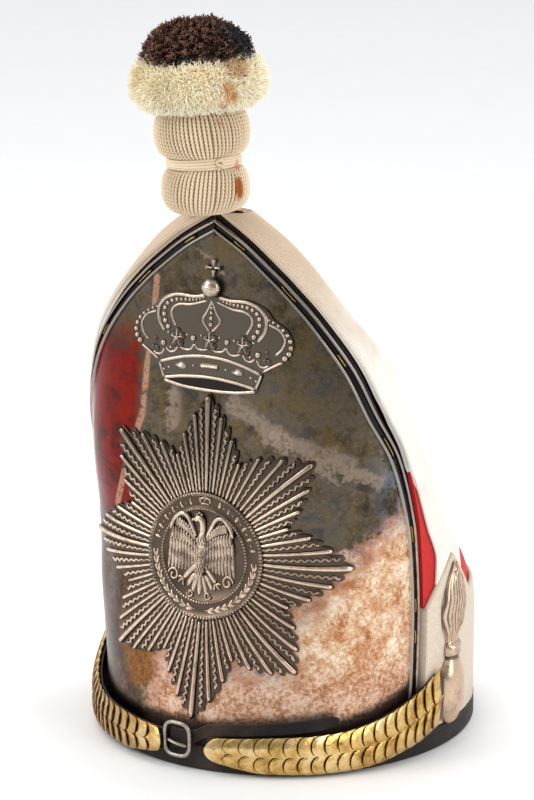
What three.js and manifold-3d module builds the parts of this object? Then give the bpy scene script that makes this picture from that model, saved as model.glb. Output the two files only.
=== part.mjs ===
// A grenadier's mitre cap: a pointed metal front plate with a raised star and crown, a red cloth
// bag with ribbed side tapes, a cloth cuff with flaming grenades, a leather rim, a scaled chin
// strap that buckles in front, and a pompom. Millimetres, Z up, the front faces -Y.
import * as THREE from "three";
import { TessellateModifier } from "three/addons/modifiers/TessellateModifier.js";
import { mergeVertices } from "three/addons/utils/BufferGeometryUtils.js";
import Module from "manifold-3d";

const wasm = await Module();
wasm.setup();

// Sizes of the cap, outside the cloth at the head band
const HEAD_HALF_LENGTH = 98;
const HEAD_HALF_WIDTH = 92;
const GIRTH_RADIUS = (HEAD_HALF_LENGTH + HEAD_HALF_WIDTH) / 2;
const CLEARANCE = 0.3;
const CURVED_CLEARANCE = 0.6;
const RELIEF_CLEARANCE = 0.95;

// Leather rim that the cap stands on
const RIM_HEIGHT = 12;
const RIM_INSIDE = 3.4;
const RIM_OUTSIDE = 2.8;

// Front plate: its foot stands on the rim, its reach is the half girth round the curve
const PLATE_HEIGHT = 273;
const PLATE_REACH = 121;
const PLATE_THICKNESS = 1.2;
const PLATE_FOOT = RIM_HEIGHT + CLEARANCE;
const BEAD_WIDTH = 2.2;
const BEAD_RISE = 1.5;
const CHANNEL_WIDTH = 2.8;
const BACKING_THICKNESS = 1.6;
const BACKING_MARGIN = 1.4;

// Cloth
const BAG_WALL = 2;
const BAG_RISE = 2.5;
const BAG_TOP = PLATE_HEIGHT + BAG_RISE;
const TAPE_FRONT_WIDTH = 16.2;
const TAPE_REAR_WIDTH = 7;
const TAPE_THICKNESS = 1.4;
const TAPE_TOP_STEP = 3;
const CUFF_THICKNESS = 2;
const CUFF_HEIGHT = 74;
const CUFF_PEAK = 100;
const CUFF_PEAK_SPREAD = 26;

// Star: its centre's height, its rays, and its round medallion
const STAR_HEIGHT = 105.5;
const STAR_RADIUS = 81.5;
const STAR_DIAGONAL_RADIUS = 76;
const STAR_UPPER_DIAGONAL_RADIUS = 82;
const STAR_LEAN = THREE.MathUtils.degToRad(4.3);
const STAR_LEAN_SPREAD = THREE.MathUtils.degToRad(20);
const STAR_NOTCH_RADIUS = 54;
const STAR_POINTS = 8;
const RAYS_PER_POINT = 4;
const STAR_RISE = 1.4;
const RAY_DEPTH = 0.7;
const RAY_VALLEY_REACH = 0.96;
const RAY_RINGS = [0.42, 0.72, 1];
const MEDALLION_RADIUS = 33;
const MEDALLION_INNER_RADIUS = 25.2;
const MEDALLION_WIDENING = 1.07;
const MEDALLION_RISE = 2.2;
const ROPE_RADIUS = 1.3;
const INNER_ROPE_RADIUS = 1;
const EAGLE_SPAN = 42;
const EAGLE_RISE = 1.8;

// Crown: widths are half girths round the curve
const CROWN_GAP = 4.5;
const CROWN_FOOT_HEIGHT = STAR_HEIGHT + STAR_RADIUS + CROWN_GAP;
const CROWN_HEIGHT = 62.5;
const CROWN_HALF_WIDTH = 51;
const CROWN_RISE = 0.9;
const ARCH_WIDTH = 3.6;
const ARCH_RISE = 2.4;
const PEARL_RADIUS = 2.2;
const RIB_SINK = 0.1;
const ORB_RADIUS = 5.6;
const ORB_FLATNESS = 0.6;
const BAND_LINE_WIDTH = 3.2;
const CROSS_WIDTH = 2.4;

// Grenade badges on the cuff
const GRENADE_HEIGHT = 85;
const GRENADE_FLAME_WIDTH = 22.5;
const GRENADE_BALL_WIDTH = 20;
const GRENADE_FOOT = 10.5;
const GRENADE_BALL_RISE = 7;
const GRENADE_FLAME_RISE = 4.5;
const GRENADE_EDGE_RISE = 0.14;
const GRENADE_COLUMNS = [-1, -0.8, -0.4, 0, 0.4, 0.8, 1];
const GRENADE_BEARING = THREE.MathUtils.degToRad(89);
const GRENADE_LEAN = 2;

// Chin strap and its scales
const STRAP_THICKNESS = 1.6;
const STRAP_WIDTH_SHARE = 0.72;
const SCALE_COUNT = 19;
const SCALE_OVERLAP = 0.5;
const SCALE_CROWDING = 0.87;
const SCALE_THICKNESS = 0.7;
const SCALE_ARCH = 1.6;
const SCALE_LOBE = 2.2;
const SCALE_START = THREE.MathUtils.degToRad(7.2);
const SCALE_END = THREE.MathUtils.degToRad(80);
const BUCKLE_BEARING = THREE.MathUtils.degToRad(-2.6);
const BUCKLE_WIDTH = 14;
const BUCKLE_HEIGHT = 17;
const BUCKLE_WIRE = 1.1;
const PRONG_WIRE = 0.8;
const TONGUE_WIDTH = 6.5;
const TONGUE_TIP_WIDTH = 2.3;
const TONGUE_TIP_LENGTH = 8;
const PRONG_DROP = 1;
const PRONG_FALL = 2;

// Pompom: two cord-wound balls, a tie between them, a fur ring and a curly wool top
const POMPOM_LEAN = THREE.MathUtils.degToRad(-4);
const POMPOM_SIDE_STEP = -3;
const POMPOM_FORWARD_STEP = 3;
const LOWER_BALL_RADIUS = 21.6;
const LOWER_BALL_HEIGHT = 22;
const BALL_FOOT_RADIUS = 10;
const WAIST_RADIUS = 16.5;
const TIE_HEIGHT = 5.4;
const TIE_THICKNESS = 1.6;
const UPPER_BALL_RADIUS = 23.5;
const UPPER_BALL_HEIGHT = 22.9;
const FUR_RADIUS = 34;
const FUR_HEIGHT = 22.6;
const WOOL_RADIUS = 28;
const WOOL_HEIGHT = 21;
const LOCK_DEPTH = 2.2;
const FUR_LOCKS = 28;
const WOOL_LOCKS = 20;
const BALL_SIDES = 16;
const BALL_FULLNESS = 0.8;
const DOME_END = 1.45;

// Section of the cap at each height. Heights are shares of the plate's height. front, ridge and
// rear are shares of the head's half length, measured back from the middle of the rim, and
// ridgeWidth is a share of its half width. The ridge is the side seam between the bag's panels.
// square and bulge are the exponents of the curves before and behind it, 2 for an ellipse,
// more for a flatter front and less for flat panels that meet in a point at the back.
const SECTIONS = [
  { height: 0.00, front: -1.015, square: 2.00, ridge: 0.00, ridgeWidth: 1.00, rear: 1.00, bulge: 2.0 },
  { height: 0.10, front: -0.975, square: 2.10, ridge: 0.00, ridgeWidth: 1.00, rear: 1.00, bulge: 2.0 },
  { height: 0.20, front: -0.925, square: 2.35, ridge: 0.00, ridgeWidth: 1.00, rear: 1.00, bulge: 2.0 },
  { height: 0.28, front: -0.885, square: 2.60, ridge: 0.01, ridgeWidth: 1.00, rear: 0.98, bulge: 1.9 },
  { height: 0.36, front: -0.847, square: 2.75, ridge: 0.03, ridgeWidth: 0.995, rear: 0.89, bulge: 1.5 },
  { height: 0.43, front: -0.832, square: 2.95, ridge: -0.06, ridgeWidth: 0.985, rear: 0.77, bulge: 1.3 },
  { height: 0.515, front: -0.818, square: 3.40, ridge: -0.17, ridgeWidth: 0.967, rear: 0.61, bulge: 1.3 },
  { height: 0.60, front: -0.805, square: 3.60, ridge: -0.295, ridgeWidth: 0.955, rear: 0.42, bulge: 1.3 },
  { height: 0.68, front: -0.795, square: 3.50, ridge: -0.39, ridgeWidth: 0.915, rear: 0.22, bulge: 1.3 },
  { height: 0.777, front: -0.780, square: 3.20, ridge: -0.50, ridgeWidth: 0.805, rear: -0.04, bulge: 1.4 },
  { height: 0.846, front: -0.762, square: 3.00, ridge: -0.59, ridgeWidth: 0.665, rear: -0.24, bulge: 1.5 },
  { height: 0.949, front: -0.745, square: 2.80, ridge: -0.635, ridgeWidth: 0.40, rear: -0.48, bulge: 1.7 },
  { height: 1.01, front: -0.735, square: 2.80, ridge: -0.67, ridgeWidth: 0.16, rear: -0.60, bulge: 2.0 },
];

// Outline of the plate from foot to apex, as shares of its reach and of its height
const PLATE_OUTLINE = [
  { reach: 1.000, height: 0.126 },
  { reach: 0.994, height: 0.300 },
  { reach: 0.969, height: 0.417 },
  { reach: 0.937, height: 0.476 },
  { reach: 0.855, height: 0.582 },
  { reach: 0.758, height: 0.664 },
  { reach: 0.665, height: 0.755 },
  { reach: 0.540, height: 0.835 },
  { reach: 0.430, height: 0.885 },
  { reach: 0.334, height: 0.919 },
  { reach: 0.185, height: 0.962 },
  { reach: 0.000, height: 1.000 },
];

// Chin strap's route on either side, from the front to the grenade: the bearing round the rim in
// degrees, the height of its middle as a share of the rise at its ends, and the width over the
// scales as a share of the widest scale
const STRAP_RISE = 42;
const SCALE_WIDTH = 29;
const STRAP_ROUTE = [
  { bearing: 0, middle: 0.321, width: 0.414 },
  { bearing: 8, middle: 0.310, width: 0.431 },
  { bearing: 16, middle: 0.286, width: 0.534 },
  { bearing: 24, middle: 0.267, width: 0.638 },
  { bearing: 35, middle: 0.267, width: 0.672 },
  { bearing: 47, middle: 0.290, width: 0.707 },
  { bearing: 57, middle: 0.350, width: 0.776 },
  { bearing: 65, middle: 0.433, width: 0.828 },
  { bearing: 73, middle: 0.538, width: 0.914 },
  { bearing: 80, middle: 0.667, width: 0.966 },
  { bearing: 96, middle: 1.000, width: 1.000 },
];

// The strap's free tongue, past the buckle and above the right hand scales, with its middle as a
// share of the same rise
const TONGUE_ROUTE = [
  { bearing: -5.5, middle: 0.348 },
  { bearing: 1, middle: 0.393 },
  { bearing: 8, middle: 0.524 },
  { bearing: 20, middle: 0.571 },
  { bearing: 34, middle: 0.612 },
  { bearing: 46, middle: 0.667 },
];

// Small helpers
const lerp = THREE.MathUtils.lerp;
const clamp = THREE.MathUtils.clamp;
const steps = (count) => Array.from({ length: count + 1 }, (_, index) => index / count);

// Value of one column of a table at a place between its rows, by a smooth curve through them
function follow(table, keyColumn, column, place) {
  const last = table.length - 1;
  let row = 0;
  while (row < last - 1 && table[row + 1][keyColumn] < place) {
    row += 1;
  }
  const slope = (first, second) =>
    (table[second][column] - table[first][column]) / (table[second][keyColumn] - table[first][keyColumn]);
  const middle = slope(row, row + 1);
  const soften = (a, b) => (a * b <= 0 ? 0 : (2 * a * b) / (a + b));
  const startSlope = row === 0 ? middle : soften(slope(row - 1, row), middle);
  const endSlope = row + 1 === last ? middle : soften(middle, slope(row + 1, row + 2));
  const span = table[row + 1][keyColumn] - table[row][keyColumn];
  const share = clamp((place - table[row][keyColumn]) / span, 0, 1);
  const rest = 1 - share;
  return table[row][column] * rest * rest * (1 + 2 * share)
    + table[row + 1][column] * share * share * (1 + 2 * rest)
    + span * share * rest * (startSlope * rest - endSlope * share);
}

const section = (column, height) => follow(SECTIONS, "height", column, height / PLATE_HEIGHT);

// Point of the front curve at a girth round the cap and a height
function frontCurve(girth, height) {
  const turn = girth / GIRTH_RADIUS;
  const square = section("square", height);
  const depth = -section("front", height) * HEAD_HALF_LENGTH;
  const across = (Math.abs(Math.sin(turn)) / HEAD_HALF_WIDTH) ** square;
  const along = (Math.abs(Math.cos(turn)) / depth) ** square;
  const radius = (across + along) ** (-1 / square);
  return new THREE.Vector3(radius * Math.sin(turn), -radius * Math.cos(turn), height);
}

// Point of the front curve moved level and square to it
function onPlate(girth, height, lift) {
  const probe = 0.5;
  const along = frontCurve(girth + probe, height).sub(frontCurve(girth - probe, height));
  const outward = new THREE.Vector3(along.y, -along.x, 0).normalize();
  return frontCurve(girth, height).addScaledVector(outward, lift);
}

// The plate's outline, grown or shrunk by a margin. The share runs from the foot to the apex.
const outlineCurve = new THREE.SplineCurve([
  new THREE.Vector2(PLATE_REACH, PLATE_FOOT),
  ...PLATE_OUTLINE.map((row) => new THREE.Vector2(row.reach * PLATE_REACH, row.height * PLATE_HEIGHT)),
]);
outlineCurve.arcLengthDivisions = 400;

function outline(share, margin) {
  const point = outlineCurve.getPointAt(share);
  const tangent = outlineCurve.getTangentAt(share);
  if (share === 1) {
    return new THREE.Vector2(0, point.y + margin / Math.abs(tangent.x));
  }
  const grown = new THREE.Vector2(point.x + margin * tangent.y, point.y - margin * tangent.x);
  if (share === 0) {
    grown.y = PLATE_FOOT;
  }
  return grown;
}

// Closed body from a list of triangles, each of three points: shared corners are merged, flat
// slivers are dropped and the faces are turned outwards
function closedBody(triangles) {
  const volume = triangles.reduce((sum, [a, b, c]) => sum + a.dot(b.clone().cross(c)), 0);
  const grid = 1e4;
  const key = (point) => point.toArray().map((value) => Math.round(value * grid)).join();
  const positions = [];
  triangles.forEach(([a, b, c]) => {
    if (key(a) !== key(b) && key(b) !== key(c) && key(c) !== key(a)) {
      const ordered = volume < 0 ? [a, c, b] : [a, b, c];
      ordered.forEach((point) => positions.push(...point.toArray()));
    }
  });
  const geometry = new THREE.BufferGeometry();
  geometry.setAttribute("position", new THREE.Float32BufferAttribute(positions, 3));
  return mergeVertices(geometry, 1 / grid);
}

// Triangles of the four-cornered patches between two rows of points
function patchRow(lower, upper, wrap) {
  const count = wrap ? lower.length : lower.length - 1;
  return Array.from({ length: count }, (_, index) => index).flatMap((index) => {
    const next = (index + 1) % lower.length;
    return [
      [lower[index], lower[next], upper[next]],
      [lower[index], upper[next], upper[index]],
    ];
  });
}

// Body between a face and its back, both given as rows of points
function sheetBody(face, back) {
  const triangles = [];
  const skin = (rows, flip) => {
    for (let row = 0; row + 1 < rows.length; row += 1) {
      patchRow(rows[row], rows[row + 1], false).forEach(([a, b, c]) => {
        triangles.push(flip ? [a, c, b] : [a, b, c]);
      });
    }
  };
  skin(face, false);
  skin(back, true);
  const top = face.length - 1;
  const border = (rows) => [
    ...rows[0],
    ...rows.slice(1, top).map((row) => row.at(-1)),
    ...rows[top].slice().reverse(),
    ...rows.slice(1, top).map((row) => row[0]).reverse(),
  ];
  patchRow(border(back), border(face), true).forEach((triangle) => triangles.push(triangle));
  return closedBody(triangles);
}

// Body through a run of rings, closed by a fan at both ends, or round on itself
function ringBody(rings, looped = false) {
  const triangles = [];
  for (let index = 0; index + 1 < rings.length; index += 1) {
    patchRow(rings[index], rings[index + 1], true).forEach((triangle) => triangles.push(triangle));
  }
  if (looped) {
    patchRow(rings.at(-1), rings[0], true).forEach((triangle) => triangles.push(triangle));
    return closedBody(triangles);
  }
  const fan = (ring, flip) => {
    const hub = ring.reduce((sum, point) => sum.add(point), new THREE.Vector3()).divideScalar(ring.length);
    ring.forEach((point, index) => {
      const next = ring[(index + 1) % ring.length];
      triangles.push(flip ? [hub, next, point] : [hub, point, next]);
    });
  };
  fan(rings[0], true);
  fan(rings.at(-1), false);
  return closedBody(triangles);
}

// Joins closed bodies that overlap into one
function fused(bodies) {
  const solids = bodies.map((body) => {
    const bare = body.clone();
    bare.deleteAttribute("normal");
    bare.deleteAttribute("uv");
    const merged = mergeVertices(bare, 1e-4);
    return new wasm.Manifold(new wasm.Mesh({
      numProp: 3,
      vertProperties: new Float32Array(merged.attributes.position.array),
      triVerts: new Uint32Array(merged.index.array),
    }));
  });
  const mesh = solids.reduce((whole, solid) => whole.add(solid)).getMesh();
  const geometry = new THREE.BufferGeometry();
  geometry.setAttribute("position", new THREE.Float32BufferAttribute(mesh.vertProperties, 3));
  geometry.setIndex(new THREE.Uint32BufferAttribute(mesh.triVerts, 1));
  return geometry;
}

// Lays flat work on the plate: x is the girth, y the height and z the lift
const LONGEST_EDGE = 16;

function bentOnPlate(geometry, longestEdge) {
  const split = new TessellateModifier(longestEdge, 8).modify(geometry.toNonIndexed());
  const place = split.attributes.position;
  const triangles = [];
  for (let index = 0; index < place.count; index += 3) {
    triangles.push([0, 1, 2].map((corner) => {
      const flat = new THREE.Vector3().fromBufferAttribute(place, index + corner);
      return onPlate(flat.x, flat.y, flat.z);
    }));
  }
  return closedBody(triangles);
}

// Front plate: a thin curved sheet whose edge carries two beads with a channel between
const BEAD_PROFILE = [
  { inset: 0, lift: 0 },
  { inset: BEAD_WIDTH / 2, lift: BEAD_RISE },
  { inset: BEAD_WIDTH, lift: 0 },
  { inset: BEAD_WIDTH + CHANNEL_WIDTH, lift: 0 },
  { inset: BEAD_WIDTH * 1.5 + CHANNEL_WIDTH, lift: BEAD_RISE },
  { inset: BEAD_WIDTH * 2 + CHANNEL_WIDTH, lift: 0 },
];

const PLATE_ROWS = 15;
const PLATE_COLUMNS = 12;

function outlinedSheet(margins, liftFace, liftBack) {
  const face = [];
  const back = [];
  steps(PLATE_ROWS).forEach((share) => {
    const edge = margins.map(({ inset, lift }) => ({ point: outline(share, -inset), lift }));
    const inner = edge.at(-1).point;
    const middle = steps(PLATE_COLUMNS).slice(1, -1).map((across) => ({
      point: new THREE.Vector2(lerp(inner.x, -inner.x, across), inner.y),
      lift: edge.at(-1).lift,
    }));
    const mirrored = edge.map(({ point, lift }) => ({ point: new THREE.Vector2(-point.x, point.y), lift }));
    const row = [...edge, ...middle, ...mirrored.reverse()];
    face.push(row.map(({ point, lift }) => onPlate(point.x, point.y, liftFace + lift)));
    back.push(row.map(({ point }) => onPlate(point.x, point.y, liftBack)));
  });
  return sheetBody(face, back);
}

function frontPlate() {
  return outlinedSheet(BEAD_PROFILE, 0, -PLATE_THICKNESS);
}

// Leather behind the plate, a little larger than it
const BACKING_FACE = -(PLATE_THICKNESS + CURVED_CLEARANCE);

function plateBacking() {
  const edge = [{ inset: -BACKING_MARGIN, lift: 0 }, { inset: BEAD_PROFILE.at(-1).inset, lift: 0 }];
  return outlinedSheet(edge, BACKING_FACE, BACKING_FACE - BACKING_THICKNESS);
}

// Leather rim: a closed band round the foot of the cap
function onRim(bearing, height, lift) {
  const x = (HEAD_HALF_WIDTH + lift) * Math.sin(bearing);
  return new THREE.Vector3(x, -(HEAD_HALF_LENGTH + lift) * Math.cos(bearing), height);
}

function leatherRim() {
  const sides = 44;
  const bevel = 1;
  const profile = [
    { lift: -RIM_INSIDE, height: 0 },
    { lift: RIM_OUTSIDE - bevel, height: 0 },
    { lift: RIM_OUTSIDE, height: bevel },
    { lift: RIM_OUTSIDE, height: RIM_HEIGHT },
    { lift: -RIM_INSIDE, height: RIM_HEIGHT },
  ];
  const rings = steps(sides).slice(0, -1).map((share) =>
    profile.map(({ lift, height }) => onRim(share * 2 * Math.PI, height, lift)));
  return ringBody(rings, true);
}

// The bag's section at a height starts beside the plate's edge, goes round the back and ends
// beside the other edge. The share runs from 0 at the wearer's left edge to 1 at the right.
const BAG_MARGIN = BACKING_MARGIN + BAG_WALL + CURVED_CLEARANCE;
const RIDGE_SHARE = 0.1;
const TAPE_REAR_LIMIT = 0.45;

function bagEdgeAt(height) {
  let low = 0;
  let high = 1;
  for (let pass = 0; pass < 30; pass += 1) {
    const middle = (low + high) / 2;
    if (outline(middle, BAG_MARGIN).y < height) {
      low = middle;
    } else {
      high = middle;
    }
  }
  return Math.max(outline((low + high) / 2, BAG_MARGIN).x, CLEARANCE);
}

function bagCurve(share, height) {
  const side = share > 0.5 ? -1 : 1;
  const half = share > 0.5 ? 1 - share : share;
  const ridgeWidth = section("ridgeWidth", height) * HEAD_HALF_WIDTH;
  const ridge = section("ridge", height) * HEAD_HALF_LENGTH;
  if (half < RIDGE_SHARE) {
    const edge = frontCurve(bagEdgeAt(height), height);
    const place = half / RIDGE_SHARE;
    const x = lerp(edge.x, ridgeWidth, Math.sin((place * Math.PI) / 2));
    return new THREE.Vector3(side * x, lerp(edge.y, ridge, place), height);
  }
  const depth = section("rear", height) * HEAD_HALF_LENGTH - ridge;
  const square = section("bulge", height);
  const turn = ((half - RIDGE_SHARE) / (0.5 - RIDGE_SHARE)) * (Math.PI / 2);
  const across = (Math.abs(Math.cos(turn)) / ridgeWidth) ** square;
  const back = (Math.abs(Math.sin(turn)) / depth) ** square;
  const radius = (across + back) ** (-1 / square);
  return new THREE.Vector3(side * radius * Math.cos(turn), ridge + radius * Math.sin(turn), height);
}

function onBag(share, height, lift) {
  const probe = 0.004;
  const along = bagCurve(share + probe, height).sub(bagCurve(share - probe, height));
  const up = bagCurve(share, height + 1).sub(bagCurve(share, height - 1));
  return bagCurve(share, height).addScaledVector(along.cross(up).normalize(), lift);
}

const BAG_FOOT = RIM_HEIGHT + CLEARANCE;

const BAG_HEIGHTS = steps(12).map((share) => lerp(BAG_FOOT, BAG_TOP, share));
const BAG_SHARES = steps(30);

function bag() {
  const face = BAG_HEIGHTS.map((height) => BAG_SHARES.map((share) => onBag(share, height, 0)));
  const back = BAG_HEIGHTS.map((height) => BAG_SHARES.map((share) => onBag(share, height, -BAG_WALL)));
  return sheetBody(face, back);
}

// Ribbed tape over each side seam, from the cuff's peak to the apex. It covers a width before the
// ridge, or all that there is, and a width behind it.
function tapeSpan(height) {
  const probe = 0.01;
  const ridgePoint = bagCurve(RIDGE_SHARE, height);
  const before = ridgePoint.distanceTo(bagCurve(RIDGE_SHARE - probe, height)) / probe;
  const behind = ridgePoint.distanceTo(bagCurve(RIDGE_SHARE + probe, height)) / probe;
  return {
    start: Math.max(RIDGE_SHARE - TAPE_FRONT_WIDTH / before, 0),
    end: Math.min(RIDGE_SHARE + TAPE_REAR_WIDTH / behind, TAPE_REAR_LIMIT),
  };
}

function sideTape(side) {
  const foot = CUFF_PEAK + CLEARANCE;
  const top = BAG_TOP - TAPE_TOP_STEP;
  const rows = [foot, ...BAG_HEIGHTS.filter((height) => height > foot + 1 && height < top - 1), top];
  const sheet = (lift) => rows.map((height) => {
    const { start, end } = tapeSpan(height);
    return [start, lerp(start, RIDGE_SHARE, 0.5), RIDGE_SHARE, end].map((share) => {
      const point = onBag(share, height, lift);
      return new THREE.Vector3(side * point.x, point.y, point.z);
    });
  });
  return sheetBody(sheet(CURVED_CLEARANCE + TAPE_THICKNESS), sheet(CURVED_CLEARANCE));
}

// Cuff: a cloth band from plate edge to plate edge round the back, peaked at both sides
function cuffTop(point) {
  const bearing = Math.atan2(Math.abs(point.x) / HEAD_HALF_WIDTH, -point.y / HEAD_HALF_LENGTH);
  const apart = Math.abs(bearing - GRENADE_BEARING - GRENADE_LEAN / HEAD_HALF_LENGTH) * GIRTH_RADIUS;
  const peak = Math.max(0, 1 - apart / CUFF_PEAK_SPREAD);
  return CUFF_HEIGHT + (CUFF_PEAK - CUFF_HEIGHT) * peak;
}

function cuff() {
  const rows = [...BAG_HEIGHTS.filter((height) => height < CUFF_PEAK), CUFF_PEAK];
  const sheet = (lift) => rows.map((height) => BAG_SHARES.map((share) => {
    const top = cuffTop(bagCurve(share, CUFF_HEIGHT));
    return onBag(share, Math.min(height, top), lift);
  }));
  return sheetBody(sheet(CURVED_CLEARANCE + CUFF_THICKNESS), sheet(CURVED_CLEARANCE));
}

// Star: rays in eight points round a raised medallion, worked out in flat work on the plate
function starReach(turn) {
  const quarter = (turn / (2 * Math.PI)) * STAR_POINTS;
  const nearest = Math.round(quarter);
  const off = Math.abs(quarter - nearest) * 2;
  const diagonal = Math.cos(turn) > 0 ? STAR_UPPER_DIAGONAL_RADIUS : STAR_DIAGONAL_RADIUS;
  const tip = nearest % 2 === 0 ? STAR_RADIUS : diagonal;
  return lerp(tip, STAR_NOTCH_RADIUS, off);
}

// The point up on the wearer's left leans down towards the level one
function leaned(turn) {
  const apart = (turn - Math.PI / 4) / STAR_LEAN_SPREAD;
  return turn + STAR_LEAN * Math.exp(-apart * apart);
}

function starRays() {
  const around = STAR_POINTS * RAYS_PER_POINT * 2;
  const ring = (share, lift) => steps(around).slice(0, -1).map((place, index) => {
    const turn = place * 2 * Math.PI;
    const ridge = index % 2 === 0 ? 1 : 0;
    const reach = starReach(turn) * (ridge ? 1 : RAY_VALLEY_REACH);
    const height = RELIEF_CLEARANCE + (lift === 0 ? 0 : lift - (1 - ridge) * RAY_DEPTH);
    const radius = reach * share;
    const way = leaned(turn);
    return new THREE.Vector3(Math.sin(way) * radius, STAR_HEIGHT + Math.cos(way) * radius, height);
  });
  const rings = [
    ...RAY_RINGS.map((share) => ring(share, 0)),
    ...RAY_RINGS.slice().reverse().map((share) => ring(share, STAR_RISE)),
  ];
  return ringBody(rings);
}

// The medallion is wider than it is high: its mean radius grows across and shrinks by as much upwards
function widened(geometry) {
  return geometry.scale(MEDALLION_WIDENING, 2 - MEDALLION_WIDENING, 1);
}

function discBody(radius, foot, rise, sides) {
  const disc = new THREE.CylinderGeometry(radius, radius, rise, sides);
  disc.rotateX(Math.PI / 2);
  widened(disc);
  disc.translate(0, STAR_HEIGHT, foot + rise / 2);
  return disc;
}

function ropeRing(radius, wire, height, sides) {
  const rope = widened(new THREE.TorusGeometry(radius, wire, 4, sides));
  rope.translate(0, STAR_HEIGHT, height);
  return rope;
}

// Half of the eagle's outline, as shares of half its span: body, raised wing and tail
const EAGLE_HALF = [
  { across: 0.00, up: 0.95 },
  { across: 0.16, up: 0.86 },
  { across: 0.14, up: 0.55 },
  { across: 0.36, up: 0.62 },
  { across: 0.62, up: 0.92 },
  { across: 0.92, up: 0.66 },
  { across: 1.00, up: 0.10 },
  { across: 0.80, up: -0.36 },
  { across: 0.44, up: -0.18 },
  { across: 0.22, up: -0.34 },
  { across: 0.34, up: -0.86 },
  { across: 0.00, up: -0.98 },
];

function eagle() {
  const half = EAGLE_SPAN / 2;
  const right = EAGLE_HALF.map(({ across, up }) => new THREE.Vector2(across * half, up * half));
  const left = right.slice(1, -1).reverse().map((point) => new THREE.Vector2(-point.x, point.y));
  const body = new THREE.ExtrudeGeometry(new THREE.Shape([...right, ...left]), {
    depth: EAGLE_RISE,
    bevelEnabled: false,
  });
  body.translate(0, STAR_HEIGHT, RELIEF_CLEARANCE + MEDALLION_RISE - EAGLE_RISE / 2);
  return body;
}

function star() {
  const sides = 20;
  const top = RELIEF_CLEARANCE + MEDALLION_RISE;
  const flat = fused([
    starRays(),
    discBody(MEDALLION_RADIUS, RELIEF_CLEARANCE, MEDALLION_RISE, sides),
    ropeRing(MEDALLION_RADIUS - ROPE_RADIUS, ROPE_RADIUS, top, sides),
    ropeRing(MEDALLION_INNER_RADIUS, INNER_ROPE_RADIUS, top, sides),
    eagle(),
  ]);
  return bentOnPlate(flat, LONGEST_EDGE);
}

// Crown: a backing in the crown's outline, a band, five arches, an orb and a cross.
// Widths are shares of the crown's half width and heights shares of its height.
const CROWN_OUTLINE = [
  { across: 0.00, up: -0.02 },
  { across: 0.34, up: -0.01 },
  { across: 0.59, up: 0.01 },
  { across: 0.67, up: 0.16 },
  { across: 0.93, up: 0.28 },
  { across: 1.00, up: 0.38 },
  { across: 0.97, up: 0.47 },
  { across: 0.86, up: 0.53 },
  { across: 0.72, up: 0.56 },
  { across: 0.62, up: 0.64 },
  { across: 0.42, up: 0.70 },
  { across: 0.22, up: 0.70 },
  { across: 0.10, up: 0.66 },
  { across: 0.00, up: 0.66 },
];

// Arches on either side: where each starts on the band, how far out it goes, its top and its hub
const CROWN_ARCHES = [
  { foot: 0.66, out: 0.97, top: 0.56, hub: 0.12 },
  { foot: 0.34, out: 0.66, top: 0.64, hub: 0.06 },
];

// Two ribs along the band, which sags in the middle, and the pearls above it
const BAND_LINES = [
  { up: 0.00, reach: 0.56 },
  { up: 0.15, reach: 0.64 },
];
const BAND_SAG_SHARE = 0.05;
const BAND_TOP_SHARE = 0.2;
const PEARL_HEIGHT_SHARE = 0.25;
const PEARL_SHARES = [-0.5, -0.17, 0.17, 0.5];
const ARCH_TOP_SHARE = 0.6;
const ORB_SHARE = 0.765;
const CROSS_ARM_SHARE = 0.93;
const CROSS_REACH_SHARE = 0.11;

function crownPlace(across, up, lift) {
  return new THREE.Vector3(across * CROWN_HALF_WIDTH, CROWN_FOOT_HEIGHT + up * CROWN_HEIGHT, lift);
}

// Round rib along a curve, half sunk in the backing
function rib(points, width, rise, stepsAlong) {
  const curve = new THREE.CatmullRomCurve3(points);
  const rings = steps(stepsAlong).map((share) => {
    const middle = curve.getPoint(share);
    const tangent = curve.getTangent(share).normalize();
    const side = new THREE.Vector3(-tangent.y, tangent.x, 0).normalize();
    return [
      { across: 0.5, lift: 0 },
      { across: 0.3, lift: 1 },
      { across: -0.3, lift: 1 },
      { across: -0.5, lift: 0 },
    ].map(({ across, lift }) => middle.clone().addScaledVector(side, across * width).setZ(
      RELIEF_CLEARANCE + RIB_SINK + lift * rise));
  });
  return ringBody(rings);
}

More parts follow.
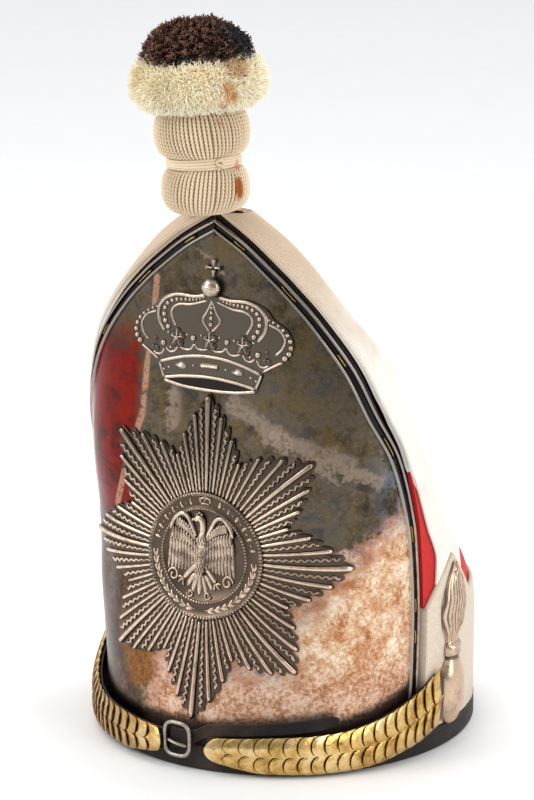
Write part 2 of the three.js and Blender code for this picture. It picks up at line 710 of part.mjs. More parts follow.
function crown() {
  const right = CROWN_OUTLINE.map(({ across, up }) => crownPlace(across, up, 0));
  const left = right.slice(1, -1).reverse().map((point) => new THREE.Vector3(-point.x, point.y, 0));
  const shape = new THREE.Shape([...right, ...left].map((point) => new THREE.Vector2(point.x, point.y)));
  const backing = new THREE.ExtrudeGeometry(shape, { depth: CROWN_RISE, bevelEnabled: false });
  backing.translate(0, 0, RELIEF_CLEARANCE);
  const bodies = [backing];
  BAND_LINES.forEach(({ up, reach }) => {
    const line = [-1, -0.5, 0, 0.5, 1].map((across) =>
      crownPlace(across * reach, up + BAND_SAG_SHARE * across * across, 0));
    bodies.push(rib(line, BAND_LINE_WIDTH, ARCH_RISE, 6));
  });
  CROWN_ARCHES.forEach(({ foot, out, top, hub }) => [1, -1].forEach((side) => {
    const path = [
      crownPlace(side * foot, BAND_TOP_SHARE, 0),
      crownPlace(side * out, lerp(BAND_TOP_SHARE, top, 0.72), 0),
      crownPlace(side * lerp(out, hub, 0.35), top + 0.06, 0),
      crownPlace(side * hub, ARCH_TOP_SHARE, 0),
    ];
    bodies.push(rib(path, ARCH_WIDTH, ARCH_RISE, 6));
  }));
  const upright = (from, to) => [0, 0.5, 1].map((share) => crownPlace(0, lerp(from, to, share), 0));
  bodies.push(rib(upright(BAND_TOP_SHARE, ARCH_TOP_SHARE), ARCH_WIDTH, ARCH_RISE, 3));
  const orb = new THREE.SphereGeometry(ORB_RADIUS, 8, 5);
  orb.scale(1, 1, ORB_FLATNESS);
  const orbPlace = crownPlace(0, ORB_SHARE, 0);
  orb.translate(orbPlace.x, orbPlace.y, RELIEF_CLEARANCE + ORB_RADIUS * ORB_FLATNESS);
  bodies.push(orb);
  bodies.push(rib(upright(ARCH_TOP_SHARE, 1), CROSS_WIDTH, ARCH_RISE, 2));
  const arms = [-1, 0, 1].map((across) => crownPlace(across * CROSS_REACH_SHARE, CROSS_ARM_SHARE, 0));
  bodies.push(rib(arms, CROSS_WIDTH, ARCH_RISE, 2));
  PEARL_SHARES.forEach((across) => {
    const pearl = new THREE.SphereGeometry(PEARL_RADIUS, 6, 4);
    const place = crownPlace(across, PEARL_HEIGHT_SHARE + BAND_SAG_SHARE * across * across, 0);
    pearl.translate(place.x, place.y, RELIEF_CLEARANCE + CROWN_RISE);
    bodies.push(pearl);
  });
  return bentOnPlate(fused(bodies), LONGEST_EDGE);
}

// Flaming grenade badge: a leaf-shaped flame over a collar and an egg-shaped ball.
// Heights are shares of its height; widths and rises are shares of the flame's or the ball's.
const GRENADE_ROWS = [
  { up: 0.00, width: 0.20, rise: 0.25 },
  { up: 0.06, width: 0.66, rise: 0.72 },
  { up: 0.18, width: 0.98, rise: 1.00 },
  { up: 0.30, width: 0.92, rise: 0.92 },
  { up: 0.42, width: 0.52, rise: 0.55 },
  { up: 0.455, width: 0.62, rise: 0.72 },
  { up: 0.49, width: 0.62, rise: 0.72 },
  { up: 0.52, width: 0.48, rise: 0.55 },
  { up: 0.62, width: 0.88, rise: 0.90 },
  { up: 0.74, width: 1.00, rise: 1.00 },
  { up: 0.88, width: 0.66, rise: 0.75 },
  { up: 1.00, width: 0.12, rise: 0.30 },
];

function grenade(side) {
  const foot = Math.max(CURVED_CLEARANCE + CUFF_THICKNESS, RIM_OUTSIDE) + CLEARANCE;
  const rings = GRENADE_ROWS.map(({ up, width, rise }) => {
    const flame = up > 0.5;
    const halfWidth = (width * (flame ? GRENADE_FLAME_WIDTH : GRENADE_BALL_WIDTH)) / 2;
    const depth = rise * (flame ? GRENADE_FLAME_RISE : GRENADE_BALL_RISE);
    const height = GRENADE_FOOT + up * GRENADE_HEIGHT;
    return GRENADE_COLUMNS.map((across) => {
      const aside = across * halfWidth + GRENADE_LEAN * (2 * up - 1);
      const bearing = GRENADE_BEARING + aside / HEAD_HALF_LENGTH;
      const lift = foot + depth * Math.hypot(GRENADE_EDGE_RISE * across, Math.sqrt(1 - across * across));
      return { bearing, height, lift };
    });
  });
  const sheet = (liftAt) => rings.map((ring) => ring.map((place) => {
    const point = onRim(place.bearing, place.height, liftAt(place));
    return new THREE.Vector3(side * point.x, point.y, point.z);
  }));
  return sheetBody(sheet(({ lift }) => lift), sheet(() => foot));
}

// Chin strap: leather under the scales, from the front to the grenade
const STRAP_LIFT = RIM_OUTSIDE + CLEARANCE;
const SCALE_LIFT = STRAP_LIFT + STRAP_THICKNESS + CLEARANCE;
const degrees = (angle) => THREE.MathUtils.radToDeg(angle);
const routeMiddle = (route, bearing) => STRAP_RISE * follow(route, "bearing", "middle", degrees(bearing));
const strapMiddle = (bearing) => routeMiddle(STRAP_ROUTE, bearing);
const strapWidth = (bearing) => SCALE_WIDTH * follow(STRAP_ROUTE, "bearing", "width", degrees(bearing));

function bandBody(bearings, middleAt, widthAt, side) {
  const rings = bearings.map((bearing) => {
    const middle = middleAt(bearing);
    const half = widthAt(bearing) / 2;
    return [
      { height: middle - half, lift: STRAP_LIFT },
      { height: middle + half, lift: STRAP_LIFT },
      { height: middle + half, lift: STRAP_LIFT + STRAP_THICKNESS },
      { height: middle - half, lift: STRAP_LIFT + STRAP_THICKNESS },
    ].map(({ height, lift }) => {
      const point = onRim(bearing, height, lift);
      return new THREE.Vector3(side * point.x, point.y, point.z);
    });
  });
  return ringBody(rings);
}

function chinStrap(side) {
  const bearings = steps(20).map((share) => lerp(SCALE_START, SCALE_END, share));
  return bandBody(bearings, strapMiddle, (bearing) => strapWidth(bearing) * STRAP_WIDTH_SHARE, side);
}

function strapTongue() {
  const start = THREE.MathUtils.degToRad(TONGUE_ROUTE[0].bearing);
  const end = THREE.MathUtils.degToRad(TONGUE_ROUTE.at(-1).bearing);
  const bearings = steps(14).map((share) => lerp(start, end, share));
  const middle = (bearing) => routeMiddle(TONGUE_ROUTE, bearing);
  const width = (bearing) => {
    const share = clamp(((end - bearing) * GIRTH_RADIUS) / TONGUE_TIP_LENGTH, 0, 1);
    return lerp(TONGUE_TIP_WIDTH, TONGUE_WIDTH, share);
  };
  return bandBody(bearings, middle, width, 1);
}

// One scale: an arched plate whose free edge has two lobes and lies over the scale before it.
// Scales are placed by counting: a count of 0 is the first scale's free edge. They crowd closer
// together towards the side.
function bearingAtCount(count) {
  return lerp(SCALE_START, SCALE_END, (count / SCALE_COUNT) ** SCALE_CROWDING);
}

const LOBES = [
  { across: -1, setBack: 1 },
  { across: -0.5, setBack: 0 },
  { across: 0, setBack: 0.9 },
  { across: 0.5, setBack: 0 },
  { across: 1, setBack: 1 },
];

function scale(index, side) {
  const last = 1 + SCALE_OVERLAP;
  const lobeCount = SCALE_LOBE / (GIRTH_RADIUS * (bearingAtCount(index + 1) - bearingAtCount(index)));
  const rounded = index === 0;
  const sheet = (thickness) => steps(1).map((along) => LOBES.map(({ across, setBack }) => {
    const free = lobeCount * (rounded ? across * across : setBack);
    const past = lerp(free, last, along);
    const bearing = bearingAtCount(index + past);
    const half = strapWidth(bearing) / 2;
    const arch = SCALE_ARCH * (1 - across * across);
    const tilt = (SCALE_THICKNESS + CLEARANCE) * (last - past);
    const point = onRim(bearing, strapMiddle(bearing) + across * half, SCALE_LIFT + arch + tilt + thickness);
    return new THREE.Vector3(side * point.x, point.y, point.z);
  }));
  return sheetBody(sheet(SCALE_THICKNESS), sheet(0));
}

// Buckle: a rounded wire frame in front of the tongue, and its prong
const BUCKLE_LIFT = STRAP_LIFT + STRAP_THICKNESS + CLEARANCE + BUCKLE_WIRE;

function buckleFrame() {
  const middle = routeMiddle(TONGUE_ROUTE, BUCKLE_BEARING);
  const rings = steps(20).slice(0, -1).map((share) => {
    const turn = share * 2 * Math.PI;
    const bend = 0.6;
    const across = (Math.sign(Math.cos(turn)) * Math.abs(Math.cos(turn)) ** bend * BUCKLE_WIDTH) / 2;
    const up = (Math.sign(Math.sin(turn)) * Math.abs(Math.sin(turn)) ** bend * BUCKLE_HEIGHT) / 2;
    return steps(6).slice(0, -1).map((place) => {
      const spin = place * 2 * Math.PI;
      const out = BUCKLE_WIRE * Math.cos(spin);
      const x = across + out * Math.cos(turn);
      const bearing = BUCKLE_BEARING + x / HEAD_HALF_WIDTH;
      return onRim(bearing, middle + up + out * Math.sin(turn), BUCKLE_LIFT + BUCKLE_WIRE * Math.sin(spin));
    });
  });
  return ringBody(rings, true);
}

function bucklePin() {
  const middle = routeMiddle(TONGUE_ROUTE, BUCKLE_BEARING);
  const half = (BUCKLE_WIDTH / 2 - BUCKLE_WIRE - PRONG_WIRE / 2) / HEAD_HALF_WIDTH;
  const rings = steps(4).map((share) => steps(6).slice(0, -1).map((place) => {
    const spin = place * 2 * Math.PI;
    const bearing = BUCKLE_BEARING + lerp(-half, half, share);
    const lift = STRAP_LIFT + STRAP_THICKNESS + CLEARANCE + PRONG_WIRE * (1 + Math.sin(spin));
    return onRim(bearing, middle - PRONG_DROP - share * PRONG_FALL + PRONG_WIRE * Math.cos(spin), lift);
  }));
  return ringBody(rings);
}

// Pompom pieces turn round a leaning axis through the seat above the plate's apex
function turned(profile) {
  const points = profile.map(([radius, height]) => new THREE.Vector2(radius, height));
  const body = new THREE.LatheGeometry(points, BALL_SIDES);
  body.rotateX(Math.PI / 2);
  return body;
}

function woundBall(radius, height, foot, neckBelow, neckAbove) {
  const arc = steps(7).map((share) => {
    const turn = lerp(-Math.PI / 2, Math.PI / 2, share);
    const neck = share < 0.5 ? neckBelow : neckAbove;
    return [lerp(neck, radius, Math.cos(turn) ** BALL_FULLNESS), foot + (height * (1 + Math.sin(turn))) / 2];
  });
  return turned([[0, foot], ...arc, [0, foot + height]]);
}

// Head of locks: a turned form whose surface is broken into tufts
function tufted(rows, sides) {
  const around = steps(sides).slice(0, -1);
  const rings = rows.map(({ radius, height }, row) => around.map((share, index) => {
    const turn = share * 2 * Math.PI;
    const tuft = (index + row) % 2 === 0 ? 1 : 0;
    const grown = radius + LOCK_DEPTH * (tuft - 0.5) * Math.min(1, radius / WOOL_RADIUS);
    return new THREE.Vector3(Math.cos(turn) * grown, Math.sin(turn) * grown, height);
  }));
  return ringBody(rings);
}

const TIE_FOOT = LOWER_BALL_HEIGHT + CLEARANCE;
const UPPER_FOOT = TIE_FOOT + TIE_HEIGHT + CLEARANCE;
const FUR_FOOT = UPPER_FOOT + UPPER_BALL_HEIGHT + CLEARANCE;
const WOOL_FOOT = FUR_FOOT + FUR_HEIGHT + CLEARANCE;

function furRing() {
  const rows = steps(6).map((share) => {
    const turn = lerp(-DOME_END, DOME_END, share);
    const round = FUR_HEIGHT / 2;
    return {
      radius: FUR_RADIUS - round * (1 - Math.cos(turn)),
      height: FUR_FOOT + round * (1 + Math.sin(turn)),
    };
  });
  return tufted(rows, FUR_LOCKS);
}

function woolTop() {
  const rows = steps(5).map((share) => {
    const turn = DOME_END * share;
    return { radius: WOOL_RADIUS * Math.cos(turn), height: WOOL_FOOT + WOOL_HEIGHT * Math.sin(turn) };
  });
  return tufted(rows, WOOL_LOCKS);
}

// Finishes
const finish = (color, roughness, metalness) =>
  new THREE.MeshStandardMaterial({ color, roughness, metalness });
const silvered = () => finish(0x5c544b, 0.35, 1);
const brass = () => finish(0xc8a04a, 0.35, 1);
const leather = () => finish(0x2b2624, 0.55, 0);
const redCloth = () => finish(0xc83232, 0.95, 0);
const creamCloth = () => finish(0xe6dccb, 0.95, 0);
const creamCord = () => finish(0xe0d2b4, 0.9, 0);
const creamFur = () => finish(0xe8dfc8, 0.95, 0);
const darkWool = () => finish(0x35241e, 0.95, 0);
const steel = () => finish(0x8a8378, 0.4, 1);

const cap = new THREE.Group();

function addPiece(name, geometry, material) {
  const mesh = new THREE.Mesh(geometry, material);
  mesh.name = name;
  cap.add(mesh);
  return mesh;
}

addPiece("leather_rim", leatherRim(), leather());
addPiece("front_plate", frontPlate(), silvered());
addPiece("plate_backing", plateBacking(), leather());
addPiece("star", star(), silvered());
addPiece("crown", crown(), silvered());
addPiece("bag", bag(), redCloth());
addPiece("cuff", cuff(), creamCloth());

const SIDES = [
  { name: "left", side: 1 },
  { name: "right", side: -1 },
];

SIDES.forEach(({ name, side }) => {
  addPiece(`side_tape_${name}`, sideTape(side), creamCloth());
  addPiece(`grenade_${name}`, grenade(side), silvered());
  addPiece(`chin_strap_${name}`, chinStrap(side), leather());
  for (let index = 0; index < SCALE_COUNT; index += 1) {
    addPiece(`scale_${name}_${index + 1}`, scale(index, side), brass());
  }
});

addPiece("strap_tongue", strapTongue(), leather());
addPiece("buckle_frame", buckleFrame(), steel());
addPiece("buckle_prong", bucklePin(), steel());

const pompom = new THREE.Group();
const seat = frontCurve(0, PLATE_HEIGHT);
pompom.position.set(
  POMPOM_SIDE_STEP,
  seat.y - POMPOM_FORWARD_STEP,
  BAG_TOP + CLEARANCE + BALL_FOOT_RADIUS * Math.sin(-POMPOM_LEAN),
);
pompom.rotation.y = POMPOM_LEAN;
cap.add(pompom);

function pompomTie() {
  return turned([
    [0, TIE_FOOT],
    [WAIST_RADIUS, TIE_FOOT],
    [WAIST_RADIUS + TIE_THICKNESS, TIE_FOOT + TIE_HEIGHT / 2],
    [WAIST_RADIUS, TIE_FOOT + TIE_HEIGHT],
    [0, TIE_FOOT + TIE_HEIGHT],
  ]);
}

const lowerBall = woundBall(LOWER_BALL_RADIUS, LOWER_BALL_HEIGHT, 0, BALL_FOOT_RADIUS, WAIST_RADIUS);
const upperBall = woundBall(UPPER_BALL_RADIUS, UPPER_BALL_HEIGHT, UPPER_FOOT, WAIST_RADIUS, WAIST_RADIUS);
pompom.add(addPiece("pompom_lower_ball", lowerBall, creamCord()));
pompom.add(addPiece("pompom_tie", pompomTie(), creamCord()));
pompom.add(addPiece("pompom_upper_ball", upperBall, creamCord()));
pompom.add(addPiece("fur_ring", furRing(), creamFur()));
pompom.add(addPiece("wool_top", woolTop(), darkWool()));

// The origin is under the middle of the whole cap, on the surface it stands on
cap.updateMatrixWorld(true);
const extent = new THREE.Box3().setFromObject(cap, true);
const middle = extent.getCenter(new THREE.Vector3());
cap.position.set(-middle.x, -middle.y, -extent.min.z);

export default cap;
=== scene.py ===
"""Looks of a grenadier's mitre cap, dressed over its CAD solids.

Shapes are worked out in millimetres, Z up, with the front towards -Y and the middle of the head
rim at the origin. They go into the meshes in metres, moved to where the CAD has that rim. Most
shapes are laid on one of three surfaces: the curved front plate (girth round the cap and height),
the bag (share of the way round its back, and height) and the rim (bearing and height).
"""

import math

import bmesh
import bpy
import numpy as np
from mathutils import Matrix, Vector


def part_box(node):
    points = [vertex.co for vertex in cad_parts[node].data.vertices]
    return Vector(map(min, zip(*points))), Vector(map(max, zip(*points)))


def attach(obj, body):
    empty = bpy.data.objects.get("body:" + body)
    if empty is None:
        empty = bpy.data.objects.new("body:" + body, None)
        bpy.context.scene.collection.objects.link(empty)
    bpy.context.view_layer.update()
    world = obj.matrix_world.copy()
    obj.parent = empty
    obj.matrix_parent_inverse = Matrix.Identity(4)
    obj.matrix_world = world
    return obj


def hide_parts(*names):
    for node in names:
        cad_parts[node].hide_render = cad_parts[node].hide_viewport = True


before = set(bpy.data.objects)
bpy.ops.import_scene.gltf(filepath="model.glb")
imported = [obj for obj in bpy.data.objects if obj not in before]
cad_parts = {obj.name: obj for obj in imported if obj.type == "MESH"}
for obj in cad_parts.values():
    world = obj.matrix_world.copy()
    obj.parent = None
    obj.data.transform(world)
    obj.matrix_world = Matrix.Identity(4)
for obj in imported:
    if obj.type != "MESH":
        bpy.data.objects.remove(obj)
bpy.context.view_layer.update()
RIM_LOW, RIM_HIGH = (np.array(corner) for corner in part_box("leather_rim"))
RIM_MIDDLE = np.array([*(RIM_LOW + RIM_HIGH)[:2] / 2, 0.0])
MM = 0.001
RANDOM = np.random.default_rng(1894)

# Sizes shared with the solids, in millimetres
HALF_LENGTH = 98.0
HALF_WIDTH = 92.0
GIRTH_RADIUS = (HALF_LENGTH + HALF_WIDTH) / 2
CLEARANCE = 0.3
CLOTH_GAP = 0.6
RELIEF_GAP = 0.55
RIM_HEIGHT = 12.0
RIM_INSIDE = 3.4
RIM_OUTSIDE = 2.8
PLATE_HEIGHT = 273.0
PLATE_REACH = 121.0
PLATE_THICKNESS = 1.2
PLATE_FOOT = RIM_HEIGHT + CLEARANCE
BEAD_RISE = 1.5
BACKING_THICKNESS = 1.6
BACKING_MARGIN = 1.4
BAG_WALL = 2.0
BAG_FOOT = RIM_HEIGHT + CLEARANCE
BAG_TOP = 275.5
RIDGE_SHARE = 0.1
TAPE_FRONT_WIDTH = 16.2
TAPE_REAR_WIDTH = 7.0
TAPE_THICKNESS = 1.4
CUFF_THICKNESS = 2.0
CUFF_HEIGHT = 74.0
CUFF_PEAK = 100.0
CUFF_PEAK_SPREAD = 26.0
STAR_HEIGHT = 105.5
MEDALLION_RADIUS = 33.0
MEDALLION_INNER_RADIUS = 25.2
MEDALLION_WIDENING = 1.07
GRENADE_HEIGHT = 85.0
GRENADE_FLAME_WIDTH = 22.5
GRENADE_BALL_WIDTH = 20.0
GRENADE_FOOT = 10.5
GRENADE_BALL_RISE = 7.0
GRENADE_FLAME_RISE = 4.5
GRENADE_BEARING = math.radians(89)
GRENADE_LEAN = 2.0
STRAP_LIFT = RIM_OUTSIDE + CLEARANCE
STRAP_THICKNESS = 1.6
ON_STRAP = STRAP_LIFT + STRAP_THICKNESS + CLEARANCE
SCALE_COUNT = 19
SCALE_CROWDING = 0.87
SCALE_OVERLAP = 0.5
SCALE_THICKNESS = 0.7
SCALE_ARCH = 1.6
SCALE_START = math.radians(7.2)
SCALE_END = math.radians(80)
BUCKLE_BEARING = math.radians(-2.6)
BUCKLE_WIDTH = 14.0
BUCKLE_HEIGHT = 17.0
TONGUE_WIDTH = 6.5
POMPOM_LEAN = math.radians(-4)
POMPOM_SIDE_STEP = -3.0
POMPOM_FORWARD_STEP = 3.0
BALL_FOOT_RADIUS = 10.0
LOWER_BALL_RADIUS = 21.6
LOWER_BALL_HEIGHT = 22.0
WAIST_RADIUS = 16.5
TIE_HEIGHT = 5.4
UPPER_BALL_RADIUS = 23.5
UPPER_BALL_HEIGHT = 22.9
FUR_RADIUS = 34.0
FUR_HEIGHT = 22.6
WOOL_RADIUS = 28.0
WOOL_HEIGHT = 21.0

# Bead and channel of the plate's edge, each a little narrower than in the solids
BEAD_WIDTH = 2.0
CHANNEL_WIDTH = 2.1

# Sections of the cap, as in the solids: shares of the plate's height, and of the rim's half sizes
SECTIONS = {
    "height": (0, 0.10, 0.20, 0.28, 0.36, 0.43, 0.515, 0.60, 0.68, 0.777, 0.846, 0.949, 1.01),
    "front": (-1.015, -0.975, -0.925, -0.885, -0.847, -0.832, -0.818, -0.805, -0.795, -0.780, -0.762,
              -0.745, -0.735),
    "square": (2.0, 2.1, 2.35, 2.6, 2.75, 2.95, 3.4, 3.6, 3.5, 3.2, 3.0, 2.8, 2.8),
    "ridge": (0, 0, 0, 0.01, 0.03, -0.06, -0.17, -0.295, -0.39, -0.50, -0.59, -0.635, -0.67),
    "ridge_width": (1, 1, 1, 1, 0.995, 0.985, 0.967, 0.955, 0.915, 0.805, 0.665, 0.40, 0.16),
    "rear": (1, 1, 1, 0.98, 0.89, 0.77, 0.61, 0.42, 0.22, -0.04, -0.24, -0.48, -0.60),
    "bulge": (2.0, 2.0, 2.0, 1.9, 1.5, 1.3, 1.3, 1.3, 1.3, 1.4, 1.5, 1.7, 2.0),
}
PLATE_OUTLINE = {
    "reach": (1.0, 1.0, 0.994, 0.969, 0.937, 0.855, 0.758, 0.665, 0.540, 0.430, 0.334, 0.185, 0.0),
    "height": (PLATE_FOOT / PLATE_HEIGHT, 0.126, 0.300, 0.417, 0.476, 0.582, 0.664, 0.755, 0.835,
               0.885, 0.919, 0.962, 1.0),
}
STRAP_ROUTE = {
    "bearing": (0, 8, 16, 24, 35, 47, 57, 65, 73, 80, 96),
    "middle": (13.5, 13.0, 12.0, 11.2, 11.2, 12.2, 14.7, 18.2, 22.6, 28.0, 42.0),
    "width": (12.0, 12.5, 15.5, 18.5, 19.5, 20.5, 22.5, 24.0, 26.5, 28.0, 29.0),
}
TONGUE_ROUTE = {
    "bearing": (-5.5, 1, 8, 20, 34, 46),
    "middle": (14.6, 16.5, 22.0, 24.0, 25.7, 28.0),
}
GRENADE_ROWS = {
    "up": (0, 0.03, 0.08, 0.18, 0.30, 0.38, 0.43, 0.445, 0.46, 0.485, 0.50, 0.52, 0.62, 0.74, 0.88, 0.97, 1),
    "width": (0.10, 0.48, 0.74, 0.98, 0.94, 0.72, 0.50, 0.60, 0.62, 0.62, 0.60, 0.48, 0.86, 1.0, 0.66,
              0.22, 0.05),
    "rise": (0.10, 0.52, 0.78, 1.0, 0.94, 0.74, 0.52, 0.70, 0.72, 0.72, 0.70, 0.50, 0.90, 1.0, 0.75,
             0.42, 0.2),
}


# Curves and surfaces
def follow(table, key, column, place):
    """Value of a table's column at a place along its key column, by cubic pieces whose slopes are
    the harmonic mean of the neighbouring ones, so that the curve never overshoots."""
    keys = np.asarray(table[key], float)
    values = np.asarray(table[column], float)
    slopes = np.diff(values) / np.diff(keys)
    same = slopes[:-1] * slopes[1:] > 0
    total = np.where(same, slopes[:-1] + slopes[1:], 1)
    soft = np.where(same, 2 * slopes[:-1] * slopes[1:] / total, 0)
    ends = np.concatenate([slopes[:1], soft, slopes[-1:]])
    row = np.clip(np.searchsorted(keys, place) - 1, 0, len(slopes) - 1)
    span = keys[row + 1] - keys[row]
    share = np.clip((place - keys[row]) / span, 0, 1)
    rest = 1 - share
    return (values[row] * rest**2 * (1 + 2 * share) + values[row + 1] * share**2 * (1 + 2 * rest)
            + span * share * rest * (ends[row] * rest - ends[row + 1] * share))


def section(column, height):
    return follow(SECTIONS, "height", column, np.asarray(height, float) / PLATE_HEIGHT)


def unit(vectors):
    return vectors / np.linalg.norm(vectors, axis=-1, keepdims=True)


def front_curve(girth, height):
    """Superellipse round the rim's middle: girth over the mean radius is the bearing, and the
    exponent and the depth change with height."""
    turn = np.asarray(girth, float) / GIRTH_RADIUS
    square = section("square", height)
    depth = -section("front", height) * HALF_LENGTH
    across = (np.abs(np.sin(turn)) / HALF_WIDTH) ** square
    along = (np.abs(np.cos(turn)) / depth) ** square
    radius = (across + along) ** (-1 / square)
    return np.stack(np.broadcast_arrays(radius * np.sin(turn), -radius * np.cos(turn), height), -1)


def plate_normal(girth, height):
    """Level direction square to the front curve."""
    along = front_curve(girth + 0.5, height) - front_curve(girth - 0.5, height)
    return unit(np.stack([along[..., 1], -along[..., 0], np.zeros(along.shape[:-1])], -1))


def on_plate(girth, height, lift):
    """Point of the front curve moved out along its level normal by the lift."""
    girth, height, lift = np.broadcast_arrays(*(np.asarray(v, float) for v in (girth, height, lift)))
    return front_curve(girth, height) + plate_normal(girth, height) * lift[..., None]


def smooth_path(corners, count):
    """Catmull-Rom curve through the corners, at even steps of its parameter."""
    corners = np.asarray(corners, float)
    padded = np.concatenate([corners[:1], corners, corners[-1:]])
    place = np.linspace(0, len(corners) - 1, count)
    piece = np.minimum(place.astype(int), len(corners) - 2)
    t = (place - piece)[:, None]
    before, start, end, after = (padded[piece + step] for step in range(4))
    out, into = (end - before) / 2, (after - start) / 2
    return ((2 * start - 2 * end + out + into) * t**3 + (3 * end - 3 * start - 2 * out - into) * t**2
            + out * t + start)


OUTLINE = smooth_path(np.stack([np.array(PLATE_OUTLINE["reach"]) * PLATE_REACH,
                                np.array(PLATE_OUTLINE["height"]) * PLATE_HEIGHT], -1), 4001)
OUTLINE_RUN = np.concatenate([[0], np.cumsum(np.linalg.norm(np.diff(OUTLINE, axis=0), axis=1))])
OUTLINE_SHARE = OUTLINE_RUN / OUTLINE_RUN[-1]
OUTLINE_WAY = unit(np.gradient(OUTLINE, axis=0))


def offset_outline(inset):
    """The plate's outline moved inwards, cut where it meets the middle line of the plate."""
    moved = OUTLINE - inset * np.stack([OUTLINE_WAY[:, 1], -OUTLINE_WAY[:, 0]], -1)
    moved[:, 1] = np.where(OUTLINE_SHARE < 0.02, np.maximum(moved[:, 1], PLATE_FOOT), moved[:, 1])
    moved[0, 1] = PLATE_FOOT
    if inset < 0:
        top = OUTLINE[-1, 1] - inset / abs(OUTLINE_WAY[-1, 0])
        return np.concatenate([moved, [[0, top]]])
    inside = moved[:, 0] > 0
    last = np.argmin(inside) if not inside.all() else len(moved)
    cut = moved[: max(last, 2)].copy()
    cut[-1, 0] = 0
    return cut


def outline_at(inset, share):
    """Points of the moved outline at shares of its own run, foot to apex."""
    curve = offset_outline(inset)
    run = np.concatenate([[0], np.cumsum(np.linalg.norm(np.diff(curve, axis=0), axis=1))])
    return np.stack([np.interp(share * run[-1], run, curve[:, side]) for side in (0, 1)], -1)


def on_rim(bearing, height, lift):
    """Ellipse of the head rim grown by the lift, at a height."""
    bearing, height, lift = np.broadcast_arrays(*(np.asarray(v, float) for v in (bearing, height, lift)))
    return np.stack([(HALF_WIDTH + lift) * np.sin(bearing), -(HALF_LENGTH + lift) * np.cos(bearing),
                     height], -1)


BAG_EDGE = offset_outline(-(BACKING_MARGIN + BAG_WALL + CLOTH_GAP))


def bag_curve(share, height):
    """Level section of the bag: a quarter sine out from beside the plate's edge to the side ridge,
    then a superellipse round the back. Share runs from the wearer's left edge to the right."""
    share, height = np.broadcast_arrays(np.asarray(share, float), np.asarray(height, float))
    side = np.where(share > 0.5, -1.0, 1.0)
    half = np.where(share > 0.5, 1 - share, share)
    width = section("ridge_width", height) * HALF_WIDTH
    ridge = section("ridge", height) * HALF_LENGTH
    edge_girth = np.maximum(np.interp(height, BAG_EDGE[:, 1], BAG_EDGE[:, 0]), CLEARANCE)
    edge = front_curve(edge_girth, height)
    place = half / RIDGE_SHARE
    near_x = edge[..., 0] + (width - edge[..., 0]) * np.sin(place * math.pi / 2)
    near_y = edge[..., 1] + (ridge - edge[..., 1]) * place
    depth = section("rear", height) * HALF_LENGTH - ridge
    square = section("bulge", height)
    turn = (half - RIDGE_SHARE) / (0.5 - RIDGE_SHARE) * math.pi / 2
    aside, behind = np.abs(np.cos(turn)) / width, np.abs(np.sin(turn)) / depth
    radius = (aside**square + behind**square) ** (-1 / square)
    ahead = half < RIDGE_SHARE
    x = np.where(ahead, near_x, radius * np.cos(turn))
    y = np.where(ahead, near_y, ridge + radius * np.sin(turn))
    return np.stack([side * x, y, height], -1)


def on_bag(share, height, lift):
    """Point of the bag's surface moved out along its normal by the lift."""
    share, height, lift = np.broadcast_arrays(*(np.asarray(v, float) for v in (share, height, lift)))
    along = bag_curve(share + 0.004, height) - bag_curve(share - 0.004, height)
    up = bag_curve(share, height + 1) - bag_curve(share, height - 1)
    return bag_curve(share, height) + unit(np.cross(along, up)) * lift[..., None]


POMPOM_SEAT = np.array([POMPOM_SIDE_STEP, front_curve(0.0, PLATE_HEIGHT)[1] - POMPOM_FORWARD_STEP,
                        BAG_TOP + CLEARANCE - BALL_FOOT_RADIUS * math.sin(POMPOM_LEAN)])


def on_pompom(points):
    """Points about the pompom's own upright axis, leant sideways and set on its seat."""
    x, y, z = np.moveaxis(points, -1, 0)
    cosine, sine = math.cos(POMPOM_LEAN), math.sin(POMPOM_LEAN)
    return np.stack([x * cosine + z * sine, y, z * cosine - x * sine], -1) + POMPOM_SEAT


# Bodies
class Form:
    """Points and four-cornered faces of one or more closed bodies. Each point may carry a flow, the
    place along and across its own surface in mm, and a tone from 0 in a hollow to 1 on a ridge."""

    def __init__(self, points, faces, flow=None, tone=1.0):
        self.points = np.asarray(points, float).reshape(-1, 3)
        count = len(self.points)
        self.faces = faces
        self.flow = np.zeros((count, 3)) if flow is None else np.asarray(flow, float).reshape(-1, 3)
        self.tone = np.broadcast_to(np.asarray(tone, float).ravel(), count) if np.size(tone) == 1 \
            else np.asarray(tone, float).ravel()

    def outward(self):
        a, b, c, d = (self.points[self.faces[:, corner]] for corner in range(4))
        volume = (a * np.cross(b, c)).sum() + (a * np.cross(c, d)).sum()
        return Form(self.points, self.faces if volume > 0 else self.faces[:, ::-1], self.flow, self.tone)


def dulled(forms, share):
    """The same forms with all their tones lowered to a share."""
    return [Form(form.points, form.faces, form.flow, form.tone * share) for form in forms]


def joined(forms):
    """Several forms as one, each turned outwards first."""
    forms = [form.outward() for form in forms]
    starts = np.cumsum([0] + [len(form.points) for form in forms[:-1]])
    return Form(np.concatenate([form.points for form in forms]),
                np.concatenate([form.faces + start for form, start in zip(forms, starts)]),
                np.concatenate([form.flow for form in forms]),
                np.concatenate([form.tone for form in forms]))


def grid_faces(rows, columns, round_rows=False, round_columns=False):
    """Faces between neighbouring points of a grid, as places in its points row by row."""
    index = np.arange(rows * columns).reshape(rows, columns)
    if round_rows:
        index = np.concatenate([index, index[:1]], 0)
    if round_columns:
        index = np.concatenate([index, index[:, :1]], 1)
    return np.stack([index[:-1, :-1], index[:-1, 1:], index[1:, 1:], index[1:, :-1]], -1).reshape(-1, 4)


